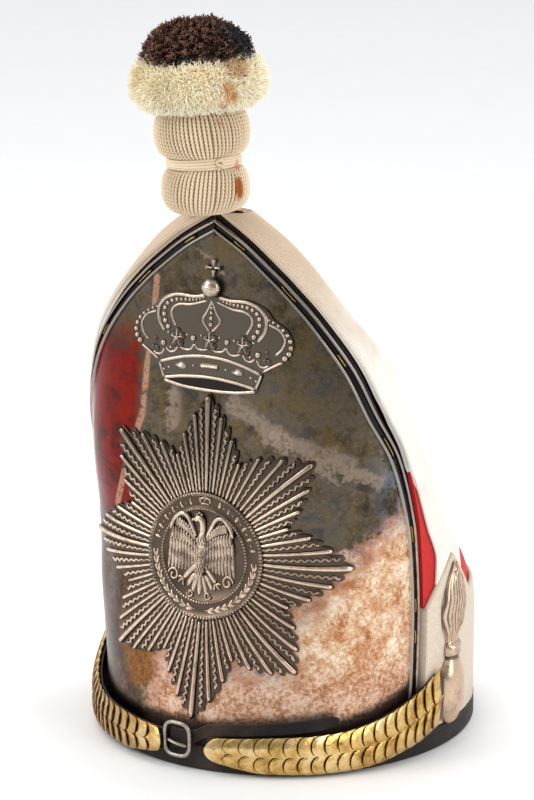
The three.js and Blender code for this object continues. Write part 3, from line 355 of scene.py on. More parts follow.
def shell(face, back, flow=None, tone=1.0):
    """Closed sheet between a face and its back, two grids of one size whose borders are joined."""
    rows, columns = face.shape[:2]
    quads = grid_faces(rows, columns)
    count = rows * columns
    index = np.arange(count).reshape(rows, columns)
    border = np.concatenate([index[0, :-1], index[:-1, -1], index[-1, :0:-1], index[:0:-1, 0]])
    after = np.roll(border, -1)
    rim = np.stack([after, border, border + count, after + count], -1)
    double = None if flow is None else np.concatenate([flow.reshape(-1, 3)] * 2)
    tones = tone if np.size(tone) == 1 else np.concatenate([np.ravel(tone)] * 2)
    return Form(np.concatenate([face.reshape(-1, 3), back.reshape(-1, 3)]),
                np.concatenate([quads, quads[:, ::-1] + count, rim]), double, tones)


def strands(paths, radii, sides=6, flat=1.0, up=(0, 0, 1), closed=False, tone=(0.0, 1.0)):
    """Tubes along a batch of paths. Each ring lies square to its path: radius times the cosine
    sideways and flat times radius times the sine towards up. A closed path has no ends."""
    paths = np.asarray(paths, float)
    count, steps = paths.shape[:2]
    if closed:
        along = np.roll(paths, -1, 1) - np.roll(paths, 1, 1)
    else:
        along = np.gradient(paths, axis=1)
    along = unit(along + 1e-9)
    sideways = unit(np.cross(along, np.broadcast_to(up, paths.shape)))
    lift = np.cross(sideways, along)
    turn = np.linspace(0, 2 * math.pi, sides, endpoint=False)
    radii = np.broadcast_to(np.asarray(radii, float), (count, steps))
    ring = (np.cos(turn)[:, None] * sideways[:, :, None] + flat * np.sin(turn)[:, None] * lift[:, :, None])
    points = paths[:, :, None] + radii[:, :, None, None] * ring
    one = grid_faces(steps, sides, round_rows=closed, round_columns=True)
    faces = (one + np.arange(count)[:, None, None] * steps * sides).reshape(-1, 4)
    run = np.cumsum(np.linalg.norm(np.diff(paths, axis=1, prepend=paths[:, :1]), axis=-1), 1)
    flow = np.stack(np.broadcast_arrays(run[..., None], radii[..., None] * turn,
                                        np.arange(count)[:, None, None]), -1)
    height = tone[0] + (tone[1] - tone[0]) * (np.sin(turn) + 1) / 2
    return Form(points, faces, flow, np.broadcast_to(height, (count, steps, sides)))


def taper(steps, ends=0.25, power=0.5):
    """Radius shares along a tube that is closed to a point at both ends over a share of it."""
    place = np.linspace(0, 1, steps)
    near = np.clip(np.minimum(place, 1 - place) / ends, 0, 1)
    return (1 - (1 - near) ** 2) ** power


def laid(corners, radius, count=24, lift=0.0, flat=0.7, closed=False, sides=8, ends=0.1, tone=(0.0, 1.0)):
    """Half-sunk round line on the plate, through corners given as girth and height."""
    flat_path = smooth_path(corners, count)
    path = on_plate(flat_path[:, 0], flat_path[:, 1], RELIEF_GAP + lift)
    normal = plate_normal(flat_path[:, 0], flat_path[:, 1])
    radii = radius * (1 if closed else taper(count, ends))
    if closed:
        path, normal, radii = path[:-1], normal[:-1], radius
    return strands(path[None], radii, sides, flat, normal[None], closed, tone)


def leaves(bases, tips, widths, lift, rise=0.5, bend=0.0, count=8, sides=6, tone=(0.0, 1.0), blunt=0.7):
    """Leaf-shaped drops laid on the plate from each base to its tip, bowed sideways by bend times
    their length. The half width follows the sine of the way along, to the power blunt."""
    bases, tips = (np.asarray(v, float)[:, None] for v in (bases, tips))
    share = np.linspace(0, 1, count)[None, :, None]
    across = np.stack([tips[..., 1] - bases[..., 1], bases[..., 0] - tips[..., 0]], -1)
    bend = np.asarray(bend, float).reshape(-1, 1, 1)
    flat_path = bases + (tips - bases) * share + across * bend * np.sin(math.pi * share)
    path = on_plate(flat_path[..., 0], flat_path[..., 1], RELIEF_GAP + lift)
    normal = plate_normal(flat_path[..., 0], flat_path[..., 1])
    half = np.asarray(widths, float).reshape(-1, 1) / 2
    shape = np.sin(math.pi * np.linspace(0, 1, count)) ** blunt
    shape[0] = shape[-1] = 0
    return strands(path, half * shape, sides, rise, normal, tone=tone)


def pearls(centres, radii, lift=0.0, sides=10, rings=7, place=on_plate, tone=(0.1, 1.0)):
    """Small balls with their middles on a surface, each drawn as rings from foot to top."""
    centres = np.asarray(centres, float)
    radii = np.broadcast_to(np.asarray(radii, float), len(centres))[:, None, None]
    rise = np.linspace(-math.pi / 2, math.pi / 2, rings)[None, :, None]
    turn = np.linspace(0, 2 * math.pi, sides, endpoint=False)[None, None]
    level = np.cos(rise)
    level[:, [0, -1]] = 0
    across = centres[:, 0, None, None] + radii * level * np.cos(turn)
    up = centres[:, 1, None, None] + radii * level * np.sin(turn)
    out = RELIEF_GAP + lift + radii * np.sin(rise) + 0 * turn
    points = place(across, up, out)
    one = grid_faces(rings, sides, round_columns=True)
    faces = (one + np.arange(len(centres))[:, None, None] * rings * sides).reshape(-1, 4)
    shade = tone[0] + (tone[1] - tone[0]) * (np.sin(rise) + 1) / 2 + 0 * across
    return Form(points, faces, None, shade)


def piece(name, forms, material, slot, nodes, crease=40):
    """Makes one mesh object of closed bodies, in metres in the CAD's frame, puts it under the root body and
    hides the CAD parts it stands in for.
    """
    form = joined(forms)
    mesh = bpy.data.meshes.new(name)
    mesh.vertices.add(len(form.points))
    mesh.vertices.foreach_set("co", (form.points * MM + RIM_MIDDLE).astype(np.float32).ravel())
    mesh.loops.add(form.faces.size)
    mesh.loops.foreach_set("vertex_index", form.faces.astype(np.int32).ravel())
    mesh.polygons.add(len(form.faces))
    mesh.polygons.foreach_set("loop_start", np.arange(0, form.faces.size, 4, dtype=np.int32))
    mesh.update(calc_edges=True)
    flow = mesh.attributes.new("flow", "FLOAT_VECTOR", "POINT")
    flow.data.foreach_set("vector", form.flow.astype(np.float32).ravel())
    tone = mesh.attributes.new("tone", "FLOAT", "POINT")
    tone.data.foreach_set("value", form.tone.astype(np.float32).ravel())
    closed = bmesh.new()
    closed.from_mesh(mesh)
    bmesh.ops.remove_doubles(closed, verts=closed.verts, dist=1e-7)
    bmesh.ops.dissolve_degenerate(closed, edges=closed.edges, dist=1e-8)
    closed.to_mesh(mesh)
    closed.free()
    mesh.shade_smooth()
    mesh.set_sharp_from_angle(angle=math.radians(crease))
    mesh.materials.append(material)
    made = bpy.data.objects.new(name, mesh)
    bpy.context.scene.collection.objects.link(made)
    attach(made, "root")
    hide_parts(*nodes)
    return made


# Materials
class Value:
    """A shader socket that takes part in arithmetic: each operator adds its Math node."""

    def __init__(self, shader, socket):
        self.shader = shader
        self.socket = socket

    def math(self, operation, *others):
        return self.shader.node("ShaderNodeMath", {"operation": operation}, dict(enumerate([self, *others])))

    def __add__(self, other):
        return self.math("ADD", other)

    def __sub__(self, other):
        return self.math("SUBTRACT", other)

    def __mul__(self, other):
        return self.math("MULTIPLY", other)

    def __truediv__(self, other):
        return self.math("DIVIDE", other)

    def __rsub__(self, other):
        return self.shader.node("ShaderNodeMath", {"operation": "SUBTRACT"}, {0: other, 1: self})

    __radd__ = __add__
    __rmul__ = __mul__

    def step(self, low, high):
        """0 below low, 1 above high, and smooth between; low may be the larger one."""
        return self.shader.node("ShaderNodeMapRange", {"interpolation_type": "SMOOTHSTEP"},
                                {"Value": self, "From Min": low, "From Max": high})

    def least(self, other):
        return self.math("MINIMUM", other)

    def most(self, other):
        return self.math("MAXIMUM", other)

    def sine(self):
        return self.math("SINE")

    def size(self):
        return self.math("ABSOLUTE")


def from_line(x, y, start, end):
    """Distance in the plane from the line between two points."""
    run = (end[0] - start[0], end[1] - start[1])
    length = math.hypot(*run)
    along = ((x - start[0]) * run[0] + (y - start[1]) * run[1]) / length**2
    along = along.most(0).least(1)
    aside = x - start[0] - along * run[0]
    above = y - start[1] - along * run[1]
    return (aside * aside + above * above).math("SQRT")


class Shader:
    """The node tree of a material, or of the world, whose nodes come from the node method."""

    def __init__(self, name, owner=None):
        self.material = owner or bpy.data.materials.new(name)
        self.material.use_nodes = True
        self.tree = self.material.node_tree
        self.tree.nodes.clear()
        coordinates = self.tree.nodes.new("ShaderNodeTexCoord")
        self.place = Value(self, coordinates.outputs["Generated" if owner else "Object"])
        self.flow = self.node("ShaderNodeAttribute", {"attribute_name": "flow"}, {}, "Vector")
        self.tone = self.node("ShaderNodeAttribute", {"attribute_name": "tone"}, {}, "Fac")

    def node(self, kind, settings, inputs, output=0):
        """Adds a node: first its settings, where stops are a ramp's places and colours, then the
        values or links of its sockets."""
        made = self.tree.nodes.new(kind)
        for key, value in settings.items():
            if key == "stops":
                elements = made.color_ramp.elements
                while len(elements) < len(value):
                    elements.new(0.5)
                for element, (position, colour) in zip(elements, value):
                    element.position = position
                    element.color = (*colour, 1)
            else:
                setattr(made, key, value)
        for key, value in inputs.items():
            if isinstance(value, Value):
                self.tree.links.new(value.socket, made.inputs[key])
            else:
                made.inputs[key].default_value = value
        return Value(self, made.outputs[output]) if output is not None else None

    def parts(self, vector):
        """The three numbers of a vector."""
        split = self.tree.nodes.new("ShaderNodeSeparateXYZ")
        self.tree.links.new(vector.socket, split.inputs[0])
        return [Value(self, output) for output in split.outputs]

    def noise(self, scale, detail=4.0, roughness=0.55, where=None, distortion=0.0):
        return self.node("ShaderNodeTexNoise", {}, {
            "Vector": where or self.place, "Scale": scale, "Detail": detail, "Roughness": roughness,
            "Distortion": distortion})

    def stretched(self, x, y, z, where=None):
        """Coordinates multiplied by a factor on each axis."""
        inputs = {0: where or self.place, 1: (x, y, z)}
        return self.node("ShaderNodeVectorMath", {"operation": "MULTIPLY"}, inputs)

    def cells(self, scale, where=None, feature="F1"):
        inputs = {"Vector": where or self.place, "Scale": scale}
        return self.node("ShaderNodeTexVoronoi", {"feature": feature}, inputs, "Distance")

    def mix(self, share, first, second):
        """Colour between two, each a colour or a link."""
        first, second = ((*c, 1) if isinstance(c, tuple) else c for c in (first, second))
        return self.node("ShaderNodeMix", {"data_type": "RGBA"}, {0: share, 6: first, 7: second}, 2)

    def ramp(self, value, *stops):
        return self.node("ShaderNodeValToRGB", {"stops": stops}, {"Fac": value}, "Color")

    def bump(self, height, distance, strength=1.0, normal=None):
        inputs = {"Height": height, "Distance": distance * MM, "Strength": strength}
        if normal:
            inputs["Normal"] = normal
        return self.node("ShaderNodeBump", {}, inputs, "Normal")

    def finish(self, colour, roughness, normal=None, **constants):
        """Closes the material with one principled shader; constants go on its own sockets."""
        inputs = {"Base Color": colour, "Roughness": roughness}
        if normal:
            inputs["Normal"] = normal
        inputs.update({key.replace("_", " "): value for key, value in constants.items()})
        for key, value in inputs.items():
            if isinstance(value, tuple) and len(value) == 3 and key != "Normal":
                inputs[key] = (*value, 1)
        shader = self.node("ShaderNodeBsdfPrincipled", {}, inputs)
        self.node("ShaderNodeOutputMaterial", {}, {"Surface": shader}, None)
        return self.material


OLIVE = (0.088, 0.066, 0.040)
UMBER = (0.038, 0.027, 0.018)
SLATE = (0.074, 0.068, 0.060)
SMEAR = (0.34, 0.26, 0.20)
CREAM = (0.93, 0.80, 0.64)
COPPER_PINK = (0.60, 0.34, 0.19)
RUST = (0.42, 0.14, 0.045)
VIOLET = (0.10, 0.095, 0.19)
# Colours of the painted red reflection on the plate's far side
PAINTED_RED_REFLECTION = (0.21, 0.008, 0.005)
PAINTED_DARK_RED_REFLECTION = (0.075, 0.008, 0.006)

# Pale smears on the plate: girth and height of both ends, and half the width
PLATE_SMEARS = (((16, 186), (46, 168), 8), ((44, 170), (92, 148), 6), ((-25, 182), (-25, 168), 6),
                ((-14, 256), (8, 248), 2.0))


def blend(first, share, second=(0.0, 0.0, 0.0), other_share=0.0):
    """Colour made of shares of one colour or two."""
    return tuple(share * a + other_share * b for a, b in zip(first, second))


def plate_metal():
    """Silvered sheet whose colour lies in zones of girth and height: olive brown tarnish above, and below a
    pinkish cream zone that is partly a painted reflection, with rust and violet tarnish specks where the two
    meet. On the far side umber, a painted red reflection, and low down a painted dark reflection; along the
    foot painted shadow and reflection of the strap; on the edge beads painted highlight and shade."""
    s = Shader("tarnished_plate")
    girth, height, _ = s.parts(s.flow)
    speck = s.noise(1400, 3, 0.8)
    fine = s.noise(480, 6, 0.75)
    middle = s.noise(120, 6, 0.7)
    broad = s.noise(34, 5, 0.65)
    wander = (broad - 0.5) * 46 + (middle - 0.5) * 30 + (fine - 0.5) * 12
    colour = s.ramp(broad * 0.45 + middle * 0.55, (0.36, UMBER), (0.46, OLIVE),
                    (0.53, (0.115, 0.090, 0.064)), (0.60, SLATE), (0.70, (0.20, 0.145, 0.100)))
    colour = s.mix(fine.step(0.52, 0.66) * 0.45, colour, (0.17, 0.135, 0.095))
    tint = s.noise(52, 4, 0.6, None, 1.0)
    colour = s.mix(tint.step(0.54, 0.66) * 0.55, colour, (0.135, 0.092, 0.034))
    colour = s.mix(tint.step(0.46, 0.36) * 0.55, colour, (0.030, 0.032, 0.036))
    bent_girth = girth + (middle - 0.5) * 14 + (fine - 0.5) * 8
    bent_height = height + (broad - 0.5) * 34 + (fine - 0.5) * 8
    for start, end, half in PLATE_SMEARS:
        away = from_line(bent_girth, bent_height, start, end)
        wiped = (middle * 0.5 + fine * 0.5).step(0.34, 0.56)
        colour = s.mix(away.step(half, half * 0.45) * (wiped * 0.40 + 0.16), colour, SMEAR)
    colour = s.mix(speck.step(0.60, 0.72) * 0.6, colour, (0.025, 0.020, 0.016))
    dust = s.noise(2300, 2, 0.6)
    colour = s.mix(dust.step(0.66, 0.74) * fine.step(0.40, 0.60) * 0.8, colour, (0.42, 0.39, 0.33))

    # Pinkish cream zone below: partly a painted reflection, with real rust and violet tarnish specks
    edge = ((girth - 17.5) * 0.9 + 60 - height).most((60 - height).least((girth + 34) * 1.6)) + wander
    pink = edge.step(-3, 7)
    border = edge.step(-12, 2) * edge.step(30, 6)
    blots = s.noise(75, 4, 0.6, None, 0.6)
    lower = s.ramp(blots * 0.38 + middle * 0.12 + fine * 0.30 + speck * 0.20, (0.42, RUST),
                   (0.475, COPPER_PINK), (0.52, (0.74, 0.53, 0.35)), (0.57, CREAM))
    lower = s.mix(s.cells(95).step(0.30, 0.12) * blots.step(0.50, 0.60) * 0.7, lower, (0.95, 0.84, 0.72))
    lower = s.mix(speck.step(0.56, 0.64) * middle.step(0.44, 0.56) * 0.75, lower, (0.40, 0.14, 0.06))
    tips = girth.step(-30, -10) * girth.step(62, 40) * height.step(40, 52) * height.step(86, 70)
    lower = s.mix((border.most(tips)) * fine.step(0.48, 0.56) * 0.9, lower, VIOLET)
    lower = s.mix(border * speck.step(0.45, 0.58) * 0.7, lower, RUST)
    low_tone = s.mix((fine * 0.6 + middle * 0.4).step(0.43, 0.56), (0.30, 0.115, 0.050), (0.68, 0.43, 0.32))
    lower = s.mix(height.step(64, 36) * 0.62, lower, low_tone)
    colour = s.mix(pink, colour, lower)

    # Painted dark reflection low on the far side
    far = girth.step(-30, -44)
    low = far * height.step(112, 92)
    painted_dark_reflection = s.ramp(middle * 0.6 + fine * 0.4, (0.40, (0.030, 0.015, 0.007)), (0.54, (0.095, 0.045, 0.018)),
                   (0.68, (0.30, 0.17, 0.09)))
    colour = s.mix(low * 0.9, colour, painted_dark_reflection)
    patch = from_line(girth, height, (-42, 62), (-38, 46)) + wander * 0.2
    tan = s.ramp(fine, (0.35, (0.11, 0.040, 0.008)), (0.6, (0.30, 0.12, 0.026)))
    colour = s.mix(patch.step(17, 9) * 0.9, colour, tan)
    # Painted red reflection along the far side
    red = (girth.step(-42, -52) * (height + (middle - 0.5) * 24).step(106, 122)
           * (height + (broad - 0.5) * 50).step(232, 196))
    colour = s.mix(red * (middle * 0.7 + fine * 0.3).step(0.30, 0.40) * 0.95, colour,
                   s.mix((middle * 0.5 + broad * 0.5).step(0.44, 0.56), PAINTED_RED_REFLECTION, PAINTED_DARK_RED_REFLECTION))
    line = from_line(girth, height, (-41, 240), (-45, 172))
    line = line.least(from_line(girth, height, (-45, 172), (-62, 122)))
    broken = (height - 178).size().step(3, 8).most(middle.step(0.5, 0.6))
    line = (line + wander * 0.06).step(2.6, 1.2) * broken * fine.step(0.34, 0.50)
    colour = s.mix(line * 0.75, colour, (0.50, 0.27, 0.17))
    strip = (girth + wander * 0.1).step(-82, -88) * height.step(212, 196) * height.step(108, 120)
    colour = s.mix(strip * (fine * 0.5 + middle * 0.5).step(0.34, 0.50) * 0.8, colour, (0.60, 0.50, 0.47))
    blue = girth.step(86, 106) * height.step(110, 150) * height.step(235, 200)
    colour = s.mix(blue * middle.step(0.40, 0.58) * 0.6, colour, (0.20, 0.26, 0.33))

    # Painted shadow and reflection of the chin strap, dark along the plate's foot
    beyond = (girth.size() - 45).most(0)
    strap_top = beyond * beyond * 0.0031 + 20
    shade = (height - strap_top + (middle - 0.5) * 5).step(8, 2)
    colour = s.mix(shade * 0.94, colour, (0.018, 0.013, 0.010))
    # Painted highlight on the beads' crests and painted shade in the channel, by the tone
    colour = s.mix(s.tone.step(0.6, 0.9) * 0.8, colour, (0.34, 0.31, 0.29))
    colour = s.mix(s.tone.step(0.4, 0.15) * 0.92, colour, (0.014, 0.012, 0.011))
    roughness = 0.17 + middle * 0.12 + pink * 0.20 + speck * 0.10 - s.tone.step(0.6, 0.9) * 0.08
    normal = s.bump(s.noise(14, 2, 0.4), 2.4, 0.35)
    normal = s.bump(fine * 0.5 + speck * 0.5, 0.12, 0.6, normal)
    return s.finish(colour, roughness, normal, Metallic=0.92, Specular_IOR_Level=0.5)


def relief_metal(name, dark, light, roughness=0.30, blotches=0.4, painted_top_shade=0.0):
    """Stamped metal, by the tone: dark in the hollows, partly tarnish and partly painted shade, near black
    in the deepest as painted shade, and light on the ridges, partly wear and partly painted highlight.
    Towards the foot and the wearer's left the ridges take a pinkish tint, a painted reflection, and
    the top can be darkened as painted shade."""
    s = Shader(name)
    fine = s.noise(900, 5, 0.7)
    middle = s.noise(150, 5, 0.6)
    across, _, up = s.parts(s.place)
    # Painted reflection: a pinkish tint on the ridges towards the foot and the wearer's left
    painted_reflection_tint = ((0.120 - up) * 12 + (across * 5)).most(0).least(1)
    mixed = s.tone + (middle - 0.5) * 0.7 + (fine - 0.5) * 0.4
    # Lighter ridges: partly wear, partly painted highlight
    lightened = mixed.step(0.42, 1.05)
    top = s.mix(painted_reflection_tint * 0.8, light, (0.68, 0.47, 0.33))
    ridge_colour = s.mix(lightened.step(0.25, 1.0), blend(dark, 0.72, light, 0.22), top)
    colour = s.mix(lightened.step(0.0, 0.35), dark, ridge_colour)
    colour = s.mix(middle.step(0.52, 0.68) * blotches, colour, (0.12, 0.070, 0.042))
    # Painted shade: near black in the deepest hollows, round the feet of the raised lines
    colour = s.mix(mixed.step(0.05, -0.35), colour, blend(dark, 0.25))
    # Painted shade darkening the top
    colour = s.mix((up - 0.118).step(0, 0.050) * painted_top_shade, colour, blend(dark, 0.6))
    normal = s.bump(fine * 0.6 + middle * 0.4, 0.16, 0.5)
    return s.finish(colour, roughness + fine * 0.16 - lightened * 0.10, normal, Metallic=0.95)


def scale_brass():
    """Polished brass, almost black along the line where a scale goes under the next one as painted shadow,
    and painted shade towards the wearer's right.
    """
    s = Shader("scale_brass")
    fine = s.noise(700, 5, 0.7)
    middle = s.noise(110, 5, 0.65)
    colour = s.ramp(middle * 0.78 + fine * 0.22, (0.36, (0.32, 0.175, 0.046)), (0.46, (0.60, 0.38, 0.115)),
                    (0.55, (0.76, 0.54, 0.24)), (0.68, (0.88, 0.72, 0.45)))
    colour = s.mix(s.cells(260).step(0.22, 0.08) * middle.step(0.5, 0.6) * 0.6, colour, (0.16, 0.09, 0.035))
    # Painted shadow under each scale's free edge, by the tone
    colour = s.mix((s.tone + (fine - 0.5) * 0.3).step(0.25, 0.85), colour, (0.055, 0.028, 0.010))
    across, _, _ = s.parts(s.place)
    # Painted shade on the scales towards the wearer's right
    colour = s.mix(across.step(-0.01, -0.05) * 0.55, colour, (0.34, 0.19, 0.070))
    normal = s.bump(middle, 0.6, 0.5)
    normal = s.bump(fine, 0.04, 0.5, normal)
    return s.finish(colour, 0.18 + fine * 0.12, normal, Metallic=1.0)


def felt(name, base, shade, sheen, nap=1500):
    """Milled wool cloth: matted fibres with no weave to see, faint dips and soil."""
    s = Shader(name)
    fibre = s.noise(nap, 3, 0.75, None, 1.5)
    lay = s.noise(1.0, 3, 0.6, s.stretched(900, 900, 300))
    broad = s.noise(30, 4, 0.6)
    colour = s.mix((fibre * 0.6 + lay * 0.4).step(0.35, 0.68), shade, base)
    colour = s.mix(broad.step(0.50, 0.75) * 0.35, colour, blend(shade, 0.8))
    normal = s.bump(fibre * 0.6 + lay * 0.4, 0.35, 0.6)
    normal = s.bump(broad, 1.2, 0.4, normal)
    return s.finish(colour, 0.92, normal, Sheen_Weight=sheen, Sheen_Roughness=0.5, Specular_IOR_Level=0.15)


def cuff_cloth():
    """Off-white milled wool, greyer and browner towards its foot and edges."""
    s = Shader("cuff_wool")
    fibre = s.noise(1500, 3, 0.75, None, 1.5)
    broad = s.noise(34, 5, 0.65)
    _, up, _ = s.parts(s.flow)
    colour = s.mix(fibre.step(0.35, 0.65), (0.60, 0.49, 0.37), (0.84, 0.74, 0.61))
    colour = s.mix(broad.step(0.46, 0.70) * 0.4, colour, (0.64, 0.53, 0.41))
    colour = s.mix((up + broad * 24).step(40, 18) * 0.45, colour, (0.42, 0.34, 0.26))
    colour = s.mix((1 - s.tone) * 0.7, colour, (0.45, 0.27, 0.19))
    normal = s.bump(fibre, 0.3, 0.6)
    normal = s.bump(broad, 1.4, 0.4, normal)
    return s.finish(colour, 0.94, normal, Sheen_Weight=0.12, Sheen_Roughness=0.5, Specular_IOR_Level=0.15)


def ribbed_tape():
    """Cream wool tape with fine ribs along it, crossed by finer weft, tanned towards the top."""
    s = Shader("ribbed_tape")
    along, across, _ = s.parts(s.flow)
    ribs = (across * (2 * math.pi / 1.3)).sine() * 0.5 + 0.5
    weft = (along * (2 * math.pi / 0.75)).sine() * 0.5 + 0.5
    broad = s.noise(40, 5, 0.6)
    _, _, high = s.parts(s.place)
    colour = s.mix(ribs * 0.75 + weft * 0.25, (0.80, 0.74, 0.65), (0.98, 0.95, 0.90))
    tanned = s.mix(ribs, (0.42, 0.29, 0.17), (0.74, 0.55, 0.37))
    colour = s.mix((high / MM + broad * 50).step(218, 280) * 0.85, colour, tanned)
    colour = s.mix(broad.step(0.52, 0.72) * 0.25, colour, (0.62, 0.52, 0.42))
    normal = s.bump(ribs * 0.7 + weft * 0.3, 0.30, 0.7)
    return s.finish(colour, 0.9, normal, Sheen_Weight=0.1, Specular_IOR_Level=0.2)


def leather(name, base, lightened, shine):
    """Dyed hide: small creased cells in the grain, paler on its edges where they wear."""
    s = Shader(name)
    grain = s.cells(900, None, "DISTANCE_TO_EDGE")
    crease = s.noise(1.0, 6, 0.7, s.stretched(70, 70, 260))
    broad = s.noise(40, 4, 0.6)
    colour = s.mix(broad.step(0.45, 0.75) * 0.6 + (1 - s.tone) * 0.5, base, lightened)
    normal = s.bump(grain.step(0.0, 0.25), 0.12, 0.5)
    normal = s.bump(crease, 0.35, 0.4, normal)
    return s.finish(colour, shine + crease * 0.22, normal, Specular_IOR_Level=0.22)


def cord_wool(name, base, shade, stains_and_shades):
    """Twisted worsted cord: dark in the grooves between the plies as painted shade, fuzzy, with a few stained
    spots.
    """
    s = Shader(name)
    fibre = s.noise(1600, 3, 0.7)
    broad = s.noise(60, 4, 0.6)
    # Painted shade in the grooves between the plies, by the tone
    colour = s.mix((s.tone + (fibre - 0.5) * 0.5).step(0.15, 0.90), shade, base)
    colour = s.mix(broad.step(0.55, 0.75) * 0.3, colour, (0.66, 0.52, 0.36))
    for place, radius, patch_colour in stains_and_shades:
        away = s.node("ShaderNodeVectorMath", {"operation": "DISTANCE"}, {
            0: s.stretched(1, 1, 0.55), 1: (place[0], place[1], place[2] * 0.55)}, "Value")
        colour = s.mix((away + (s.noise(300, 3) - 0.5) * 0.003).step(radius, radius * 0.45), colour, patch_colour)
    normal = s.bump(fibre, 0.2, 0.6)
    return s.finish(colour, 0.9, normal, Sheen_Weight=0.15, Specular_IOR_Level=0.2)


def pile(name, root, tip, stains_and_shades=(), sheen=0.3):
    """Loose wool fibres: tone runs from the root to the tip of each."""
    s = Shader(name)
    broad = s.noise(60, 4, 0.6)
    fine = s.noise(600, 3, 0.7)
    colour = s.mix((s.tone + (fine - 0.5) * 0.5).step(0.1, 0.95), root, tip)
    colour = s.mix(broad.step(0.50, 0.72) * 0.3, colour, blend(root, 0.75, tip, 0.25))
    # Patches: real stains on the fleece, painted shade on the wool top
    for place, radius, patch_colour in stains_and_shades:
        away = s.node("ShaderNodeVectorMath", {"operation": "DISTANCE"}, {0: s.place, 1: place}, "Value")
        colour = s.mix((away + (fine - 0.5) * 0.006).step(radius, radius * 0.4) * 0.9, colour, patch_colour)
    return s.finish(colour, 0.9, None, Sheen_Weight=sheen, Sheen_Roughness=0.5, Specular_IOR_Level=0.15)


def plain_wire(name, colour, roughness):
    s = Shader(name)
    fine = s.noise(900, 4, 0.7)
    shade = s.mix(fine.step(0.45, 0.7), colour, blend(colour, 0.45))
    return s.finish(shade, roughness + fine * 0.2, s.bump(fine, 0.06, 0.5), Metallic=1.0)


# Front plate
def bead_lift(inset):
    """Two half-round beads along the edge with a channel between: each rises as a half circle."""
    inner = BEAD_WIDTH + CHANNEL_WIDTH
    lift = np.zeros_like(inset)
    for start in (0, inner):
        place = np.clip((inset - start) / BEAD_WIDTH * 2 - 1, -1, 1)
        lift = np.maximum(lift, BEAD_RISE * np.sqrt(1 - place**2) * (np.abs(place) < 1))
    return lift


def dents(girth, height):
    """Shallow dips of handled sheet metal: four crossed waves, and one dent low on the far side."""
    waves = (np.sin(girth / 21 + height / 34) + np.sin(girth / 13 - height / 19 + 1.3)
             + np.sin(height / 11 + girth / 37 + 2.1) + np.sin(girth / 8 + height / 9) * 0.4)
    dent = np.exp(-(((girth + 72) / 9) ** 2 + ((height - 84) / 14) ** 2))
    return waves * 0.09 - dent * 1.1


def plate_grid(insets, inner_columns, rows):
    """Girths and heights of a grid that follows the outline: columns at insets from either edge
    and even ones between, rows at shares of the way up the edge."""
    share = np.linspace(0, 1, rows)
    edge = np.stack([outline_at(inset, share) for inset in insets], 1)
    inner = edge[:, -1:]
    across = np.linspace(1, -1, inner_columns + 2)[1:-1]
    girths = inner[..., :1] * across[None, :, None]
    middle = np.concatenate([girths, np.repeat(inner[..., 1:], inner_columns, 1)], -1)
    mirror = edge[:, ::-1] * np.array([-1, 1])
    return np.concatenate([edge, middle, mirror], 1)


def front_plate():
    bead = np.linspace(0, BEAD_WIDTH, 9)
    inner = BEAD_WIDTH + CHANNEL_WIDTH
    between = np.linspace(BEAD_WIDTH, inner, 5)[1:-1]
    insets = np.concatenate([bead, between, bead + inner, [inner + BEAD_WIDTH + 1.5]])
    inner_columns = 66
    flat = plate_grid(insets, inner_columns, 190)
    edge_insets = np.concatenate([insets, np.full(inner_columns, np.inf), insets[::-1]])
    within = edge_insets > inner + BEAD_WIDTH
    lift = bead_lift(edge_insets)[None] + dents(flat[..., 0], flat[..., 1]) * within
    # Tone for the painted shade in the channel and the painted highlight on the beads' crests
    channel = (edge_insets > BEAD_WIDTH * 0.8) & (edge_insets < inner + BEAD_WIDTH * 0.2)
    crest = bead_lift(edge_insets) > BEAD_RISE * 0.55
    tone = np.broadcast_to(np.where(channel, 0.0, np.where(crest, 1.0, 0.5)), flat.shape[:2])
    flow = np.concatenate([flat, np.zeros(flat.shape[:2] + (1,))], -1)
    face = on_plate(flat[..., 0], flat[..., 1], lift)
    back = on_plate(flat[..., 0], flat[..., 1], -PLATE_THICKNESS)
    return shell(face, back, flow, tone)


def plate_leather():
    flat = plate_grid([-BACKING_MARGIN, -BACKING_MARGIN * 0.6, 2.0, 6.0], 40, 150)
    lift = -(PLATE_THICKNESS + CLOTH_GAP)
    flow = np.concatenate([flat, np.zeros(flat.shape[:2] + (1,))], -1)
    return shell(on_plate(flat[..., 0], flat[..., 1], lift),
                 on_plate(flat[..., 0], flat[..., 1], lift - BACKING_THICKNESS), flow)


# Heights at which each stitch of the edge channel starts and ends
STITCHES = ((263.4, 259.2), (243.8, 236.0), (212.4, 206.0), (170.8, 159.8), (122.8, 112.8), (83.8, 76.0),
            (67.4, 59.4))


def stitch_ends():
    """Girth and height of each stitch's two ends, in the middle of the channel, on both sides."""
    curve = offset_outline(BEAD_WIDTH + CHANNEL_WIDTH / 2)
    heights = np.array(STITCHES)
    girths = np.interp(heights, curve[:, 1], curve[:, 0])
    right = np.stack([girths, heights], -1)
    return np.concatenate([right, right * np.array([-1, 1])])


def stitches():
    ends = stitch_ends()
    share = np.linspace(0, 1, 12)
    flat_path = ends[:, :1] + (ends[:, 1:] - ends[:, :1]) * share[None, :, None]
    lift = 0.25 + 0.75 * np.sin(math.pi * share) ** 0.5
    path = on_plate(flat_path[..., 0], flat_path[..., 1], lift[None])
    normal = plate_normal(flat_path[..., 0], flat_path[..., 1])
    return strands(path, 0.34 * taper(12, 0.12), 8, 1.0, normal)


def stitch_holes():
    """Torn holes at the ends of each stitch: low dark lenses with ragged rims."""
    ends = stitch_ends().reshape(-1, 2)
    return pearls(ends, RANDOM.uniform(1.0, 1.45, len(ends)), -0.9, 10, 7)


